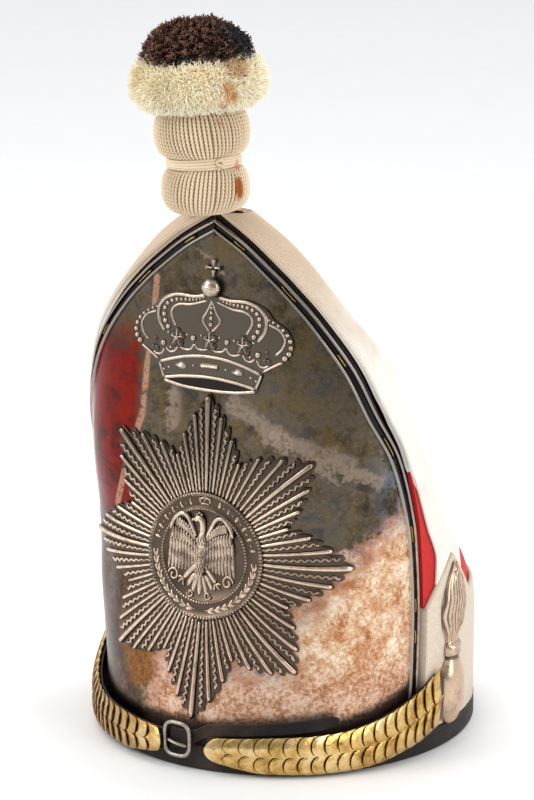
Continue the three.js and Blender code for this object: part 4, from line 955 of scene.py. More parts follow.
# Star
RAYS = 96
RAY_STEP = 2 * math.pi / RAYS
RAY_START = 31.0
STAR_STRAIGHT_TIP = 81.5
STAR_UPPER_DIAGONAL = 82.0
STAR_LOWER_DIAGONAL = 76.0
STAR_NOTCH = 54.0
STAR_LEAN = math.radians(4.3)
STAR_LEAN_SPREAD = math.radians(20)


def star_reach(turn):
    """Distance of the star's edge from its centre: eight points whose sides are straight in turn."""
    eighth = turn / (math.pi / 4)
    off = np.abs(eighth - np.round(eighth)) * 2
    diagonal = np.where(np.cos(turn) > 0, STAR_UPPER_DIAGONAL, STAR_LOWER_DIAGONAL)
    tip = np.where(np.round(eighth).astype(int) % 2 == 0, STAR_STRAIGHT_TIP, diagonal)
    return tip + (STAR_NOTCH - tip) * off


def leaned(turn):
    """The point up on the wearer's left leans down towards the level one."""
    return turn + STAR_LEAN * np.exp(-(((turn - math.pi / 4) / STAR_LEAN_SPREAD) ** 2))


def flat_star(turn, radius):
    return np.sin(leaned(turn)) * radius, STAR_HEIGHT + np.cos(leaned(turn)) * radius


def star_ground():
    """Sheet under the rays: a polar grid out to the star's edge, stepped from ray to ray."""
    turn = np.linspace(0, 2 * math.pi, RAYS * 6, endpoint=False)
    ray = np.round(turn / RAY_STEP)
    off = np.abs(turn / RAY_STEP - ray) * 2
    reach = star_reach(ray * RAY_STEP) + 0.1 - 3.0 * off**2
    share = np.linspace(0.3, 1, 18)[:, None]
    x, z = flat_star(turn, reach * share)
    rise = np.where(share > 0.985, 0.45, 0.8)
    face = on_plate(x, z, RELIEF_GAP + rise)
    back = on_plate(x, z, RELIEF_GAP + 0.05)
    flow = np.stack([x, z, 0 * x], -1)
    rows = share.shape[0]
    points = np.concatenate([back, face[::-1]])
    faces = grid_faces(rows * 2, len(turn), round_rows=True, round_columns=True)
    tone = np.concatenate([0 * x, 0.12 + 0 * x])
    return Form(points, faces, np.concatenate([flow, flow[::-1]]), tone)


def star_rays():
    """Straight rods in turn with wavy ones, each swelling towards its rounded outer end."""
    straight, wavy = [], []
    for number in range(RAYS):
        turn = number * RAY_STEP
        reach = float(star_reach(turn)) - (0.2 if number % 2 == 0 else 2.2)
        (straight if number % 2 == 0 else wavy).append((turn, reach, number % 12 == 0))
    forms = []
    for kind, steps, sides in ((straight, 26, 6), (wavy, 80, 5)):
        turn, reach, centre = (np.array(v)[:, None] for v in zip(*kind))
        share = np.linspace(0, 1, steps)[None]
        radius = RAY_START + (reach - RAY_START) * share
        bend = np.zeros_like(radius)
        if kind is wavy:
            growth = np.clip((radius - RAY_START) / 26, 0.3, 1)
            bend = 0.60 * growth * np.sin(radius * 2 * math.pi / 3.7 + turn * 40)
        way = leaned(turn)
        x = np.sin(way) * radius + np.cos(way) * bend
        z = STAR_HEIGHT + np.cos(way) * radius - np.sin(way) * bend
        thin, gain = (0.60, 0.42) if kind is wavy else (0.74, 0.62)
        swell = thin + gain * (radius - RAY_START) / 50
        swell = np.where(centre, swell * 1.25, swell)
        end = np.clip((reach - radius) / 0.9, 0, 1)
        half = swell * np.sqrt(1 - (1 - end) ** 2)
        half[:, 0] = 0
        path = on_plate(x, z, RELIEF_GAP + 0.75 + 0.25 * half)
        # Tone from -0.5 at each ray's foot paints shade round it
        forms.append(strands(path, half, sides, 1.0, plate_normal(x, z), tone=(-0.5, 1.0)))
    return forms


def flat_medallion(turn, radius):
    """Flat place on the medallion, which is wider than it is high."""
    return (np.sin(turn) * radius * MEDALLION_WIDENING,
            STAR_HEIGHT + 0.6 + np.cos(turn) * radius * (2 - MEDALLION_WIDENING))


def ring_rope(radius, wire, lift, plies):
    """Twisted rope laid in a ring: its thickness waves round the wire and along the ring."""
    count = 400
    turn = np.linspace(0, 2 * math.pi, count, endpoint=False)
    spin = np.linspace(0, 2 * math.pi, 8, endpoint=False)
    thick = wire * (1 + 0.16 * np.sin(turn[:, None] * plies + spin[None]))
    out = radius + thick * np.cos(spin)[None]
    x, z = flat_medallion(turn[:, None], out)
    points = on_plate(x, z, RELIEF_GAP + lift + thick * np.sin(spin)[None] * 0.9)
    tone = np.broadcast_to((np.sin(spin) + 1) / 2, (count, 8)) * (0.75 + 0.25 * np.sin(turn * plies)[:, None])
    return Form(points, grid_faces(count, 8, True, True), None, tone)


def medallion():
    """Stepped round boss: a rim, a sunk band and a raised inner field, turned about its centre."""
    radius = np.array([0, 33.0, 34.0, 33.6, 32.4, 31.5, 27.5, 26.2, 25.6, 24.2, 23.4, 12.0, 0])
    rise = np.array([0.1, 0.1, 0.9, 1.9, 2.5, 1.9, 1.9, 2.1, 2.5, 2.3, 1.7, 2.2, 2.4])
    tone = np.array([0, 0, 0.1, 0.6, 0.8, 0.2, 0.2, 0.4, 0.7, 0.3, 0.2, 0.25, 0.25])
    turn = np.linspace(0, 2 * math.pi, 160, endpoint=False)
    x, z = flat_medallion(turn[None], radius[:, None])
    points = on_plate(x, z, RELIEF_GAP + rise[:, None] + 0 * x)
    return Form(points, grid_faces(len(radius), len(turn), round_columns=True), None, tone[:, None] + 0 * x)


def both_sides(rows):
    """Rows of numbers whose first of each pair of flat coordinates is mirrored as well."""
    rows = np.asarray(rows, float)
    return np.concatenate([rows, rows * np.array([-1, 1])])


def scroll(middle, radius, way):
    """Corners of a spiral that closes in on its middle, turning one way or the other."""
    turn = np.linspace(0, 2.4 * math.pi, 12)
    reach = radius * (1 - turn * 0.1)
    return np.array(middle) + np.stack([np.cos(turn) * reach, np.sin(way * turn) * reach], -1)


def eagle():
    """Spread eagle built of overlapping feathers: body, neck and head looking to one side, two
    broad wings of four rows of feathers, a fanned tail between scrolls, and legs with claws."""
    centre = np.array([-1.5, STAR_HEIGHT + 0.6])
    field = 1.9
    body = centre + np.array([[0, 12], [0.5, 7], [0, 1], [0, -6], [0, -10]])
    neck = centre + np.array([[-5.0, 16.6], [-2.6, 18.2], [0.2, 17.2], [0.8, 13], [0.2, 8.5]])
    forms = [laid(body, 3.4, 22, field + 0.5, 0.55, ends=0.45),
             laid(neck, 1.8, 18, field + 0.8, 0.6, ends=0.3),
             leaves([centre + [-3.4, 17.4]], [centre + [-7.2, 16.0]], 1.6, field + 0.8, 0.8, 0.2, 8, 6)]
    along = np.linspace(0, 1, 9)
    rows = (((4.4, -1.0), (21.0, 3.5), 15.0, 2.6), ((4.6, 3.0), (20.4, 8.5), 10.5, 2.6),
            ((4.6, 7.0), (19.0, 13.0), 8.0, 2.5), ((4.8, 10.5), (16.0, 17.5), 6.0, 2.4))
    for row, (start, end, length, width) in enumerate(rows):
        start, end = np.array(start), np.array(end)
        arch = np.stack([0 * along, 1.6 * np.sin(math.pi * along)], -1)
        bases = start + (end - start) * along[:, None] + arch
        lengths = length * (0.62 + 0.5 * along - 0.25 * along**4)
        tips = bases + np.stack([lengths * (0.10 * along - 0.06), -lengths], -1)
        for side in (1, -1):
            mirror = np.array([side, 1])
            forms.append(leaves(centre + bases * mirror, centre + tips * mirror, width, field + 0.25 * row,
                                0.55, side * 0.06, 9, 6, (-0.4, 0.95)))
    wing_bone = [[3.2, 9.0], [6.0, 13.5], [9.5, 18.6], [14.0, 19.6], [18.4, 16.0], [20.6, 10.5]]
    tail = np.array([[-8.0, -17.5], [-4.4, -20.0], [0, -21.0], [4.4, -20.0], [8.0, -17.5]])
    roots = np.stack([tail[:, 0] * 0.15, np.full(5, -9.0)], -1)
    forms.append(leaves(centre + roots, centre + tail, 3.0, field, 0.5, [0.12, 0.06, 0, -0.06, -0.12], 9, 6))
    for side in (1, -1):
        mirror = np.array([side, 1])
        forms.append(laid(centre + np.array(wing_bone) * mirror, 1.15, 28, field + 0.9, 0.7, ends=0.3))
        leg = np.array([[1.5, -5], [6.0, -8.0], [10.5, -13.0]]) * mirror
        forms.append(laid(centre + leg, 1.5, 14, field + 0.5, 0.6, ends=0.4))
        foot = np.tile([10.4 * side, -12.8], (3, 1))
        toes = np.array([[14.5, -12.6], [13.8, -15.8], [10.0, -17.0]]) * mirror
        forms.append(leaves(centre + foot, centre + toes, 1.3, field + 0.4, 0.8, 0.1, 7, 6))
        forms.append(laid(centre + scroll((17.5, -12.0), 3.6, 1) * mirror, 0.65, 44, field + 0.1, 0.9))
        forms.append(laid(centre + scroll((5.6, -19.6), 2.2, -1) * mirror, 0.5, 40, field + 0.3, 0.9))
    chest = np.array([[x * 1.7 + (row % 2) * 0.85, 9 - row * 2.1] for row in range(9) for x in (-1, 0, 1)])
    chest = centre + chest
    forms.append(leaves(chest, chest - [0, 2.8], 1.8, field + 2.1, 0.4, 0, 6, 5, (-0.3, 1.0)))
    crown = np.array([[-3.4, 20.0], [-1.9, 21.0], [-0.3, 20.2]])
    forms.append(pearls(centre + crown, 0.85, field + 0.3, 8, 5))
    return forms


def star_ring_work():
    """Laurel sprays round the lower half of the ring, small bars and beads round the upper half,
    and a little crown at its top."""
    radius = (MEDALLION_RADIUS + MEDALLION_INNER_RADIUS) / 2 + 0.2
    forms = []
    for side in (1, -1):
        turn = np.radians(np.linspace(100, 172, 10))
        bases = np.stack(flat_medallion(turn * side, radius), -1)
        for way in (1.5, -1.5):
            tips = np.stack(flat_medallion((turn - math.radians(9)) * side, radius + way), -1)
            forms.append(leaves(bases, tips, 1.8, 1.9, 0.6, 0.1 * side, 8, 6))
        stem = np.stack(flat_medallion(np.radians(np.linspace(92, 176, 12)) * side, radius), -1)
        forms.append(laid(stem, 0.35, 40, 2.0, 0.9, sides=5))
    turn = np.radians(np.array([angle for angle in range(-78, 79, 12) if abs(angle) > 14]))
    inner, outer = (np.stack(flat_medallion(turn, radius + step), -1) for step in (-2.1, 2.1))
    forms.append(leaves(inner, outer, 1.7, 1.9, 0.6, 0, 8, 6, blunt=0.5))
    between = turn[:-1] + math.radians(6)
    between = between[np.abs(between) > 0.3]
    forms.append(pearls(np.stack(flat_medallion(between, radius), -1), 0.6, 1.9, 8, 5))
    top = np.array([0, STAR_HEIGHT + 0.6 + radius * (2 - MEDALLION_WIDENING)])
    forms.append(laid(top + np.array([[-3.0, -1.6], [0, -1.3], [3.0, -1.6]]), 0.6, 10, 2.0))
    arches = [[-3.0, -1.2], [-3.4, 0.6], [-1.2, 1.6], [0, 1.0], [1.2, 1.6], [3.4, 0.6], [3.0, -1.2]]
    forms.append(laid(top + np.array(arches), 0.5, 26, 2.0))
    forms.append(pearls(top + np.array([[-3.3, 1.2], [0, 2.4], [3.3, 1.2], [0, 0.2]]), 0.65, 2.0, 8, 5))
    return forms


# Crown: corners are girth and height on the plate
CROWN_EDGE = ((0, 188.3), (18, 188.9), (30.5, 190.6), (32.6, 196), (34.6, 199.9), (36.6, 201.7), (41, 204.2),
              (46.4, 206.6), (49.4, 209.3), (51.6, 212.6), (52.0, 216.4), (50.2, 220.6), (46.6, 223.9),
              (41, 227.0), (37.8, 230.4), (32.2, 233.2), (24, 235.0), (13, 234.9), (6, 236.0), (0, 236.4))
MAIN_ARCH = ((4.6, 235.2), (13, 233.9), (24.5, 234.0), (32.5, 231.5), (36.8, 226.8), (36, 220.5),
             (31.8, 215.4))
MAIN_ARCH_INSIDE = ((3.4, 232.6), (14.8, 229.9), (22.8, 229.3), (27.3, 227.2), (28.1, 223.6), (24.5, 218.3))
MAIN_PEARLS = ((6.3, 234.0), (8.4, 233.2), (10.9, 232.7), (13.3, 232.4), (15.8, 232.2), (18.6, 232.1),
               (21.7, 231.9), (24.9, 231.6), (28.2, 230.7), (31.1, 229.1), (32.7, 226.7), (32.9, 223.6),
               (31.9, 220.5), (29.6, 217.7))
SIDE_ARCH_INSIDE = ((38.4, 224.4), (44.5, 222.2), (47.6, 217.8), (45.8, 213), (42.5, 210))
SIDE_PEARLS = ((38.4, 226.6), (41.0, 225.7), (43.8, 224.3), (46.5, 222.4), (48.9, 220.1), (50.4, 217.3),
               (50.7, 214.2), (49.7, 211.2), (47.6, 208.9))
SCALLOPS = (((0, 210.9), (2.6, 208.7), (5.7, 208.2), (8.8, 208.7), (11.4, 210.8)),
            ((11.4, 210.8), (13.2, 208.2), (16.2, 207.4), (19.6, 208), (22.4, 209.6)),
            ((22.6, 208.4), (24.6, 206.0), (27.6, 205.4), (30.4, 207.0)),
            ((31.4, 206.6), (33.2, 204.0), (36, 203.4), (38.6, 204.6)))
CROWN_LEAVES = ((-22.9, 212.9), (0.0, 213.4), (22.9, 212.9))
CROWN_HALF_LEAVES = ((-37.6, 207.8), (37.6, 207.8))
BAND_TOP = ((-34, 199.8), (-22, 203.0), (-8, 205.0), (8, 205.0), (22, 203.0), (34, 199.8))
BAND_LOWER = ((-30.8, 192.2), (-18, 194.1), (0, 195.1), (18, 194.1), (30.8, 192.2))
BAND_FOOT = ((-30.8, 191.0), (-18, 189.2), (0, 188.6), (18, 189.2), (30.8, 191.0))
BAND_END = ((30.8, 192.2), (33.2, 197), (34.2, 199.8))
SIDE_ARCH_FOOT = ((35, 201), (41, 204.2), (46.4, 206.8))
KITE = ((0, 232.5), (-3.2, 227.5), (-6.0, 223.2), (-3.2, 219.8), (0, 217.6), (3.4, 219.8), (6.2, 223.2),
        (3.0, 227.8), (0, 232.5))
ORB = (0.3, 239.6)
CROSS_ARMS = (((0, 4.2), (0, 9.0)), ((0.2, 9.4), (6.0, 9.4)), ((-0.2, 9.4), (-6.0, 9.4)),
              ((0, 9.6), (0, 14.0)))


def crown_ground():
    """Sheet under the crown: a polar grid about its middle, out to its edge on both sides."""
    right = smooth_path(CROWN_EDGE, 180)
    edge = np.concatenate([right[:-1], right[::-1][:-1] * np.array([-1, 1])])
    middle = np.array([0, 211.0])
    share = np.linspace(0, 1, 22)[:, None, None]
    flat = middle + (edge - middle)[None] * share
    rise = np.where(share > 0.97, 0.35, 0.75)[..., 0] + 0 * flat[..., 0]
    mouth = (flat[..., 1] < 194.9 - 2.9 * (flat[..., 0] / 31) ** 2) & (np.abs(flat[..., 0]) < 31)
    face = on_plate(flat[..., 0], flat[..., 1], RELIEF_GAP + rise)
    back = on_plate(flat[..., 0], flat[..., 1], RELIEF_GAP + 0.05)
    points = np.concatenate([back, face[::-1]])
    faces = grid_faces(len(share) * 2, len(edge), round_columns=True)
    # Tone of -0.6 makes the mouth near black, a painted shade
    tone = np.where(mouth, -0.6, 0.30)
    return Form(points, faces, None, np.concatenate([0 * rise, tone[::-1]]))


def crown():
    raised = 0.7
    forms = [crown_ground()]
    for line, radius in ((BAND_TOP, 0.95), (BAND_LOWER, 0.95), (BAND_FOOT, 0.95)):
        forms.append(laid(line, radius, 50, raised, 0.9, ends=0.03))
    for side in (1, -1):
        mirror = np.array([side, 1])
        for line, radius in ((MAIN_ARCH, 1.0), (MAIN_ARCH_INSIDE, 0.7), (SIDE_ARCH_INSIDE, 0.65)):
            forms.append(laid(np.array(line) * mirror, radius, 48, raised, 0.95, ends=0.04))
        for line in SCALLOPS:
            forms.append(laid(np.array(line) * mirror, 0.6, 18, raised, 0.9, ends=0.08))
        for line, steps in ((BAND_END, 12), (SIDE_ARCH_FOOT, 14)):
            forms.append(laid(np.array(line) * mirror, 0.7, steps, raised, 0.9))
        for row, least, most in ((MAIN_PEARLS, 0.75, 1.55), (SIDE_PEARLS, 0.7, 1.6)):
            forms.append(pearls(np.array(row) * mirror, np.linspace(least, most, len(row)), raised))
    forms.append(laid(np.array(KITE), 0.6, 60, raised, 0.95, closed=True))
    drops = [(0, z) for z in (231.6, 229.4, 227.0, 224.3, 221.3)]
    forms.append(pearls(drops, (0.8, 0.95, 1.1, 1.25, 1.4), raised))
    forms.append(pearls([(-11.9, 213.6), (11.9, 213.6), (-32.2, 209.3), (32.2, 209.3)], 1.7, raised))
    for x, z in CROWN_LEAVES:
        bases = np.array([[x, z]] * 5)
        tips = bases + np.array([[0, 5.2], [5.4, 1.6], [-5.4, 1.6], [3.6, -4.6], [-3.6, -4.6]])
        forms.append(leaves(bases, tips, 4.0, raised + 0.3, 0.6, 0, 9, 8, (-0.6, 0.15), 0.6))
        forms.append(leaves(bases, bases + (tips - bases) * 0.8, 0.6, raised + 1.3, 1.0, 0, 7, 5, (0.5, 1.0)))
        forms.append(pearls([(x, z)], 1.25, raised + 0.9))
        dots = [(x - 6.3, z + 1.9), (x + 6.3, z + 1.9), (x - 4.4, z - 5.2), (x + 4.4, z - 5.2)]
        forms.append(pearls(dots, 0.8, raised))
    for x, z in CROWN_HALF_LEAVES:
        bases = np.array([[x, z]] * 3)
        tips = bases + np.array([[0, 4.6], [2.6, -3.0], [-2.6, -3.0]])
        forms.append(leaves(bases, tips, 2.8, raised + 0.2, 0.6, 0, 8, 6, (-0.6, 0.4), 0.6))
    diamonds = np.array([[-19.6, 199.0], [19.6, 199.0]])
    forms.append(leaves(diamonds - [4.8, 0.1], diamonds + [4.8, 0.1], 4.6, raised, 0.75, 0, 5, 4, blunt=1.0))
    forms.append(laid([[-6.2, 200.2], [0, 200.4], [6.2, 200.2]], 1.45, 16, raised, 0.8, sides=4, ends=0.03))
    dots = both_sides([(31.2, 196.3), (27.9, 197.6), (11.3, 200.0)])
    forms.append(pearls(dots, 0.75, raised))
    forms.append(orb())
    wide = np.array([0, 0.55, 0.6, 0.7, 0.9, 1.25, 1.6, 0.0])
    for arm in CROSS_ARMS:
        start, end = np.array(ORB) + np.array(arm)
        x, z = np.linspace(start, end, 8).T
        path = on_plate(x, z, RELIEF_GAP + 0.9)
        forms.append(strands(path[None], wide[None], 4, 0.7, plate_normal(x, z)[None]))
    return forms


def orb():
    """Ball with a double band round its middle: its radius swells on two lines of latitude."""
    rise = np.linspace(-math.pi / 2, math.pi / 2, 41)[:, None]
    turn = np.linspace(0, 2 * math.pi, 40, endpoint=False)[None]
    out = np.cos(rise) * np.cos(turn)
    across = np.cos(rise) * np.sin(turn)
    up = np.sin(rise) + 0 * turn
    band = np.exp(-(((up - 0.10) / 0.07) ** 2)) + np.exp(-(((up + 0.14) / 0.07) ** 2))
    swell = 1 + 0.07 * band
    wide, tall, deep = 6.4, 4.9, 3.4
    x, z = ORB[0] + across * wide * swell, ORB[1] + up * tall * swell
    points = on_plate(x, z, RELIEF_GAP + deep * 0.75 + out * deep * swell)
    return Form(points, grid_faces(41, 40, round_columns=True), None, 0.35 + 0.5 * (out + 1) / 2 + 0.3 * band)


# Cloth, whose own coordinates take this as the way round the bag
CLOTH_GIRTH = 420


def folds(share, height):
    """Slack of the cloth: long shallow folds that run from the ridge down to the back."""
    slack = np.sin(math.pi * np.clip((height - 90) / 180, 0, 1)) * np.sin(math.pi * share) ** 2
    return slack * (np.sin(share * 38 + height / 24) * 0.55 + np.sin(share * 17 - height / 31 + 1) * 0.7)


def bag():
    heights = np.linspace(BAG_FOOT, BAG_TOP, 90)[:, None]
    share = np.linspace(0, 1, 140)[None]
    aside = np.abs(share - 0.5) * CLOTH_GIRTH
    seam = 0.5 * np.exp(-(((aside - 3.4) / 1.8) ** 2)) - 1.1 * np.exp(-((aside / 2.0) ** 2))
    lift = folds(share, heights) + seam * (heights > CUFF_HEIGHT)
    face = on_bag(share, heights, np.minimum(lift, 0.35))
    back = on_bag(share, heights, -BAG_WALL)
    flow = np.stack(np.broadcast_arrays(share * CLOTH_GIRTH, heights, 0 * share), -1)
    return shell(face, back, flow)


def tape_span(height):
    """Shares of the bag's way round that a tape covers: a width before the ridge and one behind."""
    ridge = bag_curve(RIDGE_SHARE, height)
    before = np.linalg.norm(ridge - bag_curve(RIDGE_SHARE - 0.01, height), axis=-1) / 0.01
    behind = np.linalg.norm(ridge - bag_curve(RIDGE_SHARE + 0.01, height), axis=-1) / 0.01
    start = np.maximum(RIDGE_SHARE - TAPE_FRONT_WIDTH / before, 0)
    rear = TAPE_REAR_WIDTH + 6.5 * np.clip((135 - height) / 30, 0, 1)
    end = np.minimum(RIDGE_SHARE + rear / behind, 0.45)
    end = end + (0.499 - end) * np.clip((height - BAG_TOP + 9) / 8, 0, 1) ** 1.5
    return start, end


def tape(side):
    """Tape on the seam from the cuff's top to the bag's top: its ahead edge wraps over the bag's
    front edge where it reaches that, and its end folds over the top."""
    place = np.linspace(0, 1, 25)
    middle_column = 14

    def shares(heights):
        start, end = tape_span(heights)
        return np.where(place < 0.7, start + (RIDGE_SHARE - start) * place / 0.7,
                        RIDGE_SHARE + (end - RIDGE_SHARE) * (place - 0.7) / 0.3)

    foot = np.full(len(place), CUFF_PEAK)
    for _ in range(8):
        foot = cuff_top(bag_curve(shares(foot), foot)) + CLEARANCE
    height = foot + (BAG_TOP + 0.2 - foot) * np.linspace(0, 1, 100)[:, None]
    share = shares(height)
    start = share[:, 0]
    heights = height[:, 0]
    edge = np.minimum(place, 1 - place)
    rounded = TAPE_THICKNESS * (0.55 + 0.45 * np.sqrt(1 - np.clip(1 - edge / 0.08, 0, 1) ** 2))
    mirror = np.array([side, 1, 1])
    face = on_bag(share, height, CLOTH_GAP + rounded[None])
    back = on_bag(share, height, CLOTH_GAP + 0 * rounded[None])
    wrap = np.clip(1 - start / 0.012, 0, 1)
    lift = np.stack([-BAG_WALL * wrap + CLOTH_GAP * (1 - wrap), CLOTH_GAP + 0.4 * wrap], -1)
    edge_line = on_bag(start[:, None] + 0 * lift, height[:, :2], lift)
    ahead = unit(on_bag(start, heights, 0) - on_bag(start + 0.01, heights, 0))[:, None]
    face = np.concatenate([edge_line + ahead * (0.45 * wrap)[:, None, None], face], 1)
    back = np.concatenate([edge_line + ahead * (0.08 * wrap)[:, None, None], back], 1)
    inwards = np.array([0.6, 2.0, 3.4])[:, None, None]
    middle = np.array([0.0, bag_curve(RIDGE_SHARE, BAG_TOP)[1], 0.0])
    fold_way = unit((middle - back[-1:]) * [1, 1, 0])
    fold = (back[-1:] * [1, 1, 0]) + fold_way * inwards
    face = np.concatenate([face, fold + [0, 0, BAG_TOP + 0.27]]) * mirror
    back = np.concatenate([back, fold + [0, 0, BAG_TOP + 0.08]]) * mirror
    run = np.concatenate([[0], np.cumsum(np.linalg.norm(np.diff(face[:, middle_column], axis=0), axis=1))])
    across = np.concatenate([[-2.6, -0.6], place * (TAPE_FRONT_WIDTH + TAPE_REAR_WIDTH)])
    flow = np.stack(np.broadcast_arrays(run[:, None], across[None], 0.0), -1)
    return shell(face, back, flow)


def cuff_top(points):
    bearing = np.arctan2(np.abs(points[..., 0]) / HALF_WIDTH, -points[..., 1] / HALF_LENGTH)
    apart = np.abs(bearing - GRENADE_BEARING - GRENADE_LEAN / HALF_LENGTH) * GIRTH_RADIUS
    peak = np.maximum(0, 1 - apart / CUFF_PEAK_SPREAD)
    return CUFF_HEIGHT + (CUFF_PEAK - CUFF_HEIGHT) * peak


def cuff():
    """Cuff round the bag, rounded along its top, whose ends wrap over the bag's two front edges."""
    share = np.linspace(0, 1, 190)
    top = cuff_top(bag_curve(share, CUFF_HEIGHT))
    place = np.linspace(0, 1, 44)[:, None]
    height = BAG_FOOT + (top[None] - BAG_FOOT) * place
    from_top = top[None] - height
    lift = CUFF_THICKNESS * (0.45 + 0.55 * np.sqrt(1 - np.clip(1 - from_top / 1.6, 0, 1) ** 2))
    slack = np.sin(share * 44)[None] * np.sin(height / 17) * 0.18 + np.sin(share * 90 + 2)[None] * 0.1
    face = on_bag(share[None], height, CLOTH_GAP + lift + slack * np.clip(from_top / 10, 0, 1))
    back = on_bag(share[None], height, CLOTH_GAP)
    tone = 1 - np.exp(-((from_top / 0.9) ** 2)) * 0.8
    wraps = []
    for edge, inner, column in ((0.0, 0.01, 0), (1.0, 0.99, -1)):
        high = height[:, [column, column]]
        ahead = unit(on_bag(edge, high, 0) - on_bag(inner, high, 0))
        turned = np.array([-BAG_WALL, CLOTH_GAP + CUFF_THICKNESS * 0.8])[:: 1 if column == 0 else -1]
        under = np.array([-BAG_WALL, CLOTH_GAP])[:: 1 if column == 0 else -1]
        wraps.append((on_bag(edge, high, turned) + ahead * 0.3, on_bag(edge, high, under) + ahead * 0.05))
    (first_face, first_back), (last_face, last_back) = wraps
    face = np.concatenate([first_face, face, last_face], 1)
    back = np.concatenate([first_back, back, last_back], 1)
    around = np.concatenate([[-0.008, -0.002], share, [1.002, 1.008]])
    height, tone = (np.pad(rows, ((0, 0), (2, 2)), "edge") for rows in (height, tone))
    flow = np.stack(np.broadcast_arrays(around[None] * CLOTH_GIRTH, height, 0.0), -1)
    return shell(face, back, flow, tone)


# Metal on the cuff, and the strap
def grenade(side):
    """Flaming shell: a table gives the half width and the rise at each height, its section is a
    half ellipse, and wavy strands ripple the flame."""
    up = np.linspace(0, 1, 130)[:, None]
    across = np.sin(np.linspace(-math.pi / 2, math.pi / 2, 41))[None]
    width = follow(GRENADE_ROWS, "up", "width", up)
    rise = follow(GRENADE_ROWS, "up", "rise", up)
    flame = np.clip((up - 0.495) / 0.03, 0, 1)
    half = width * (GRENADE_FLAME_WIDTH * flame + GRENADE_BALL_WIDTH * (1 - flame)) / 2
    depth = rise * (GRENADE_FLAME_RISE * flame + GRENADE_BALL_RISE * (1 - flame))
    ripple = np.sin(across * 31 + 1.6 * np.sin(up * 30) + 5 * up) * (0.7 + 0.3 * np.sin(across * 9 - up * 13))
    foot = max(CLOTH_GAP + CUFF_THICKNESS, RIM_OUTSIDE) + CLEARANCE
    lean = 1.2 * np.sin((up - 0.5) * 5) * flame
    bearing = GRENADE_BEARING + (across * half + lean + GRENADE_LEAN * (2 * up - 1)) / HALF_LENGTH
    collar = across * 1.6 * np.exp(-(((up - 0.47) / 0.04) ** 2))
    height = GRENADE_FOOT + up * GRENADE_HEIGHT + collar
    lift = foot + depth * np.sqrt(np.maximum(1 - across**2, 0)) + 0.42 * flame * ripple * np.cos(across * 1.4)
    mirror = np.array([side, 1, 1])
    face = on_rim(bearing, height, np.maximum(lift, foot + 0.12)) * mirror
    back = on_rim(bearing, height, foot) * mirror
    tone = np.where(flame > 0.5, 0.82 + 0.45 * ripple, 0.86 + 0 * ripple) * np.ones_like(lift)
    tone = np.where(np.abs(up - 0.43) < 0.012, 0.1, tone)
    return shell(face, back, None, tone)


def leather_band():
    """Rim of the cap: a rolled section carried round the ellipse, with a groove under its top."""
    outer = RIM_OUTSIDE
    profile = np.array([(-RIM_INSIDE, 0.4), (-RIM_INSIDE + 0.5, 0), (outer - 1.5, 0), (outer - 0.5, 0.35),
                        (outer, 1.3), (outer, 4), (outer, 8.6), (outer - 0.45, 9.2), (outer - 0.45, 9.7),
                        (outer, 10.3), (outer - 0.1, 11.3), (outer - 0.8, RIM_HEIGHT),
                        (-RIM_INSIDE + 0.5, RIM_HEIGHT), (-RIM_INSIDE, RIM_HEIGHT - 0.5)])
    bearing = np.linspace(0, 2 * math.pi, 360, endpoint=False)[:, None]
    points = on_rim(bearing, profile[None, :, 1], profile[None, :, 0])
    flow = np.stack(np.broadcast_arrays(bearing * GIRTH_RADIUS, profile[None, :, 1], 0.0), -1)
    tone = np.array([0.8, 0.8, 0.8, 0.5, 0.4, 0.9, 0.9, 0.2, 0.2, 0.9, 0.4, 0.5, 0.8, 0.8])
    tone = np.broadcast_to(tone, points.shape[:2])
    return Form(points, grid_faces(360, len(profile), True, True), flow, tone)


def band(bearing, middle, width, side):
    """Strap round the rim: a flat section with rounded edges, whose ends are closed."""
    turn = np.linspace(0, 2 * math.pi, 28, endpoint=False)
    across = np.sign(np.cos(turn)) * np.abs(np.cos(turn)) ** 0.28
    out = np.sign(np.sin(turn)) * np.abs(np.sin(turn)) ** 0.5
    ends = np.ones(len(bearing))
    ends[[0, -1]] = 0
    half = (width / 2 * ends)[:, None]
    height = middle[:, None] + across[None] * half
    rise = STRAP_LIFT + STRAP_THICKNESS / 2 + out[None] * STRAP_THICKNESS / 2 * ends[:, None]
    points = on_rim(bearing[:, None], height, rise) * np.array([side, 1, 1])
    flow = np.stack(np.broadcast_arrays(bearing[:, None] * GIRTH_RADIUS, across[None] * half, 0.0), -1)
    tone = 1 - 0.8 * np.clip((np.abs(across) - 0.85) / 0.15, 0, 1)
    tone = np.broadcast_to(tone, points.shape[:2])
    return Form(points, grid_faces(len(bearing), 28, round_columns=True), flow, tone)


def strap_middle(bearing):
    return follow(STRAP_ROUTE, "bearing", "middle", np.degrees(bearing))


def strap_width(bearing):
    return follow(STRAP_ROUTE, "bearing", "width", np.degrees(bearing))


def chin_strap(side):
    bearing = np.linspace(SCALE_START, SCALE_END, 70)
    bearing = np.concatenate([bearing[:1], bearing, bearing[-1:]])
    return band(bearing, strap_middle(bearing), strap_width(bearing) * 0.94, side)


def tongue():
    start, end = math.radians(TONGUE_ROUTE["bearing"][0]), math.radians(TONGUE_ROUTE["bearing"][-1])
    bearing = np.linspace(start, end, 80)
    bearing = np.concatenate([bearing[:1], bearing, bearing[-1:]])
    middle = follow(TONGUE_ROUTE, "bearing", "middle", np.degrees(bearing))
    near_tip = np.clip((end - bearing) * GIRTH_RADIUS / 7.0, 0, 1)
    wide = TONGUE_WIDTH + 5.0 * np.clip(1 - (bearing - start) / 0.16, 0, 1)
    return band(bearing, middle, wide * (0.35 + 0.65 * np.sqrt(near_tip)), 1)


def bearing_at(count):
    return SCALE_START + (SCALE_END - SCALE_START) * (np.maximum(count, 0) / SCALE_COUNT) ** SCALE_CROWDING


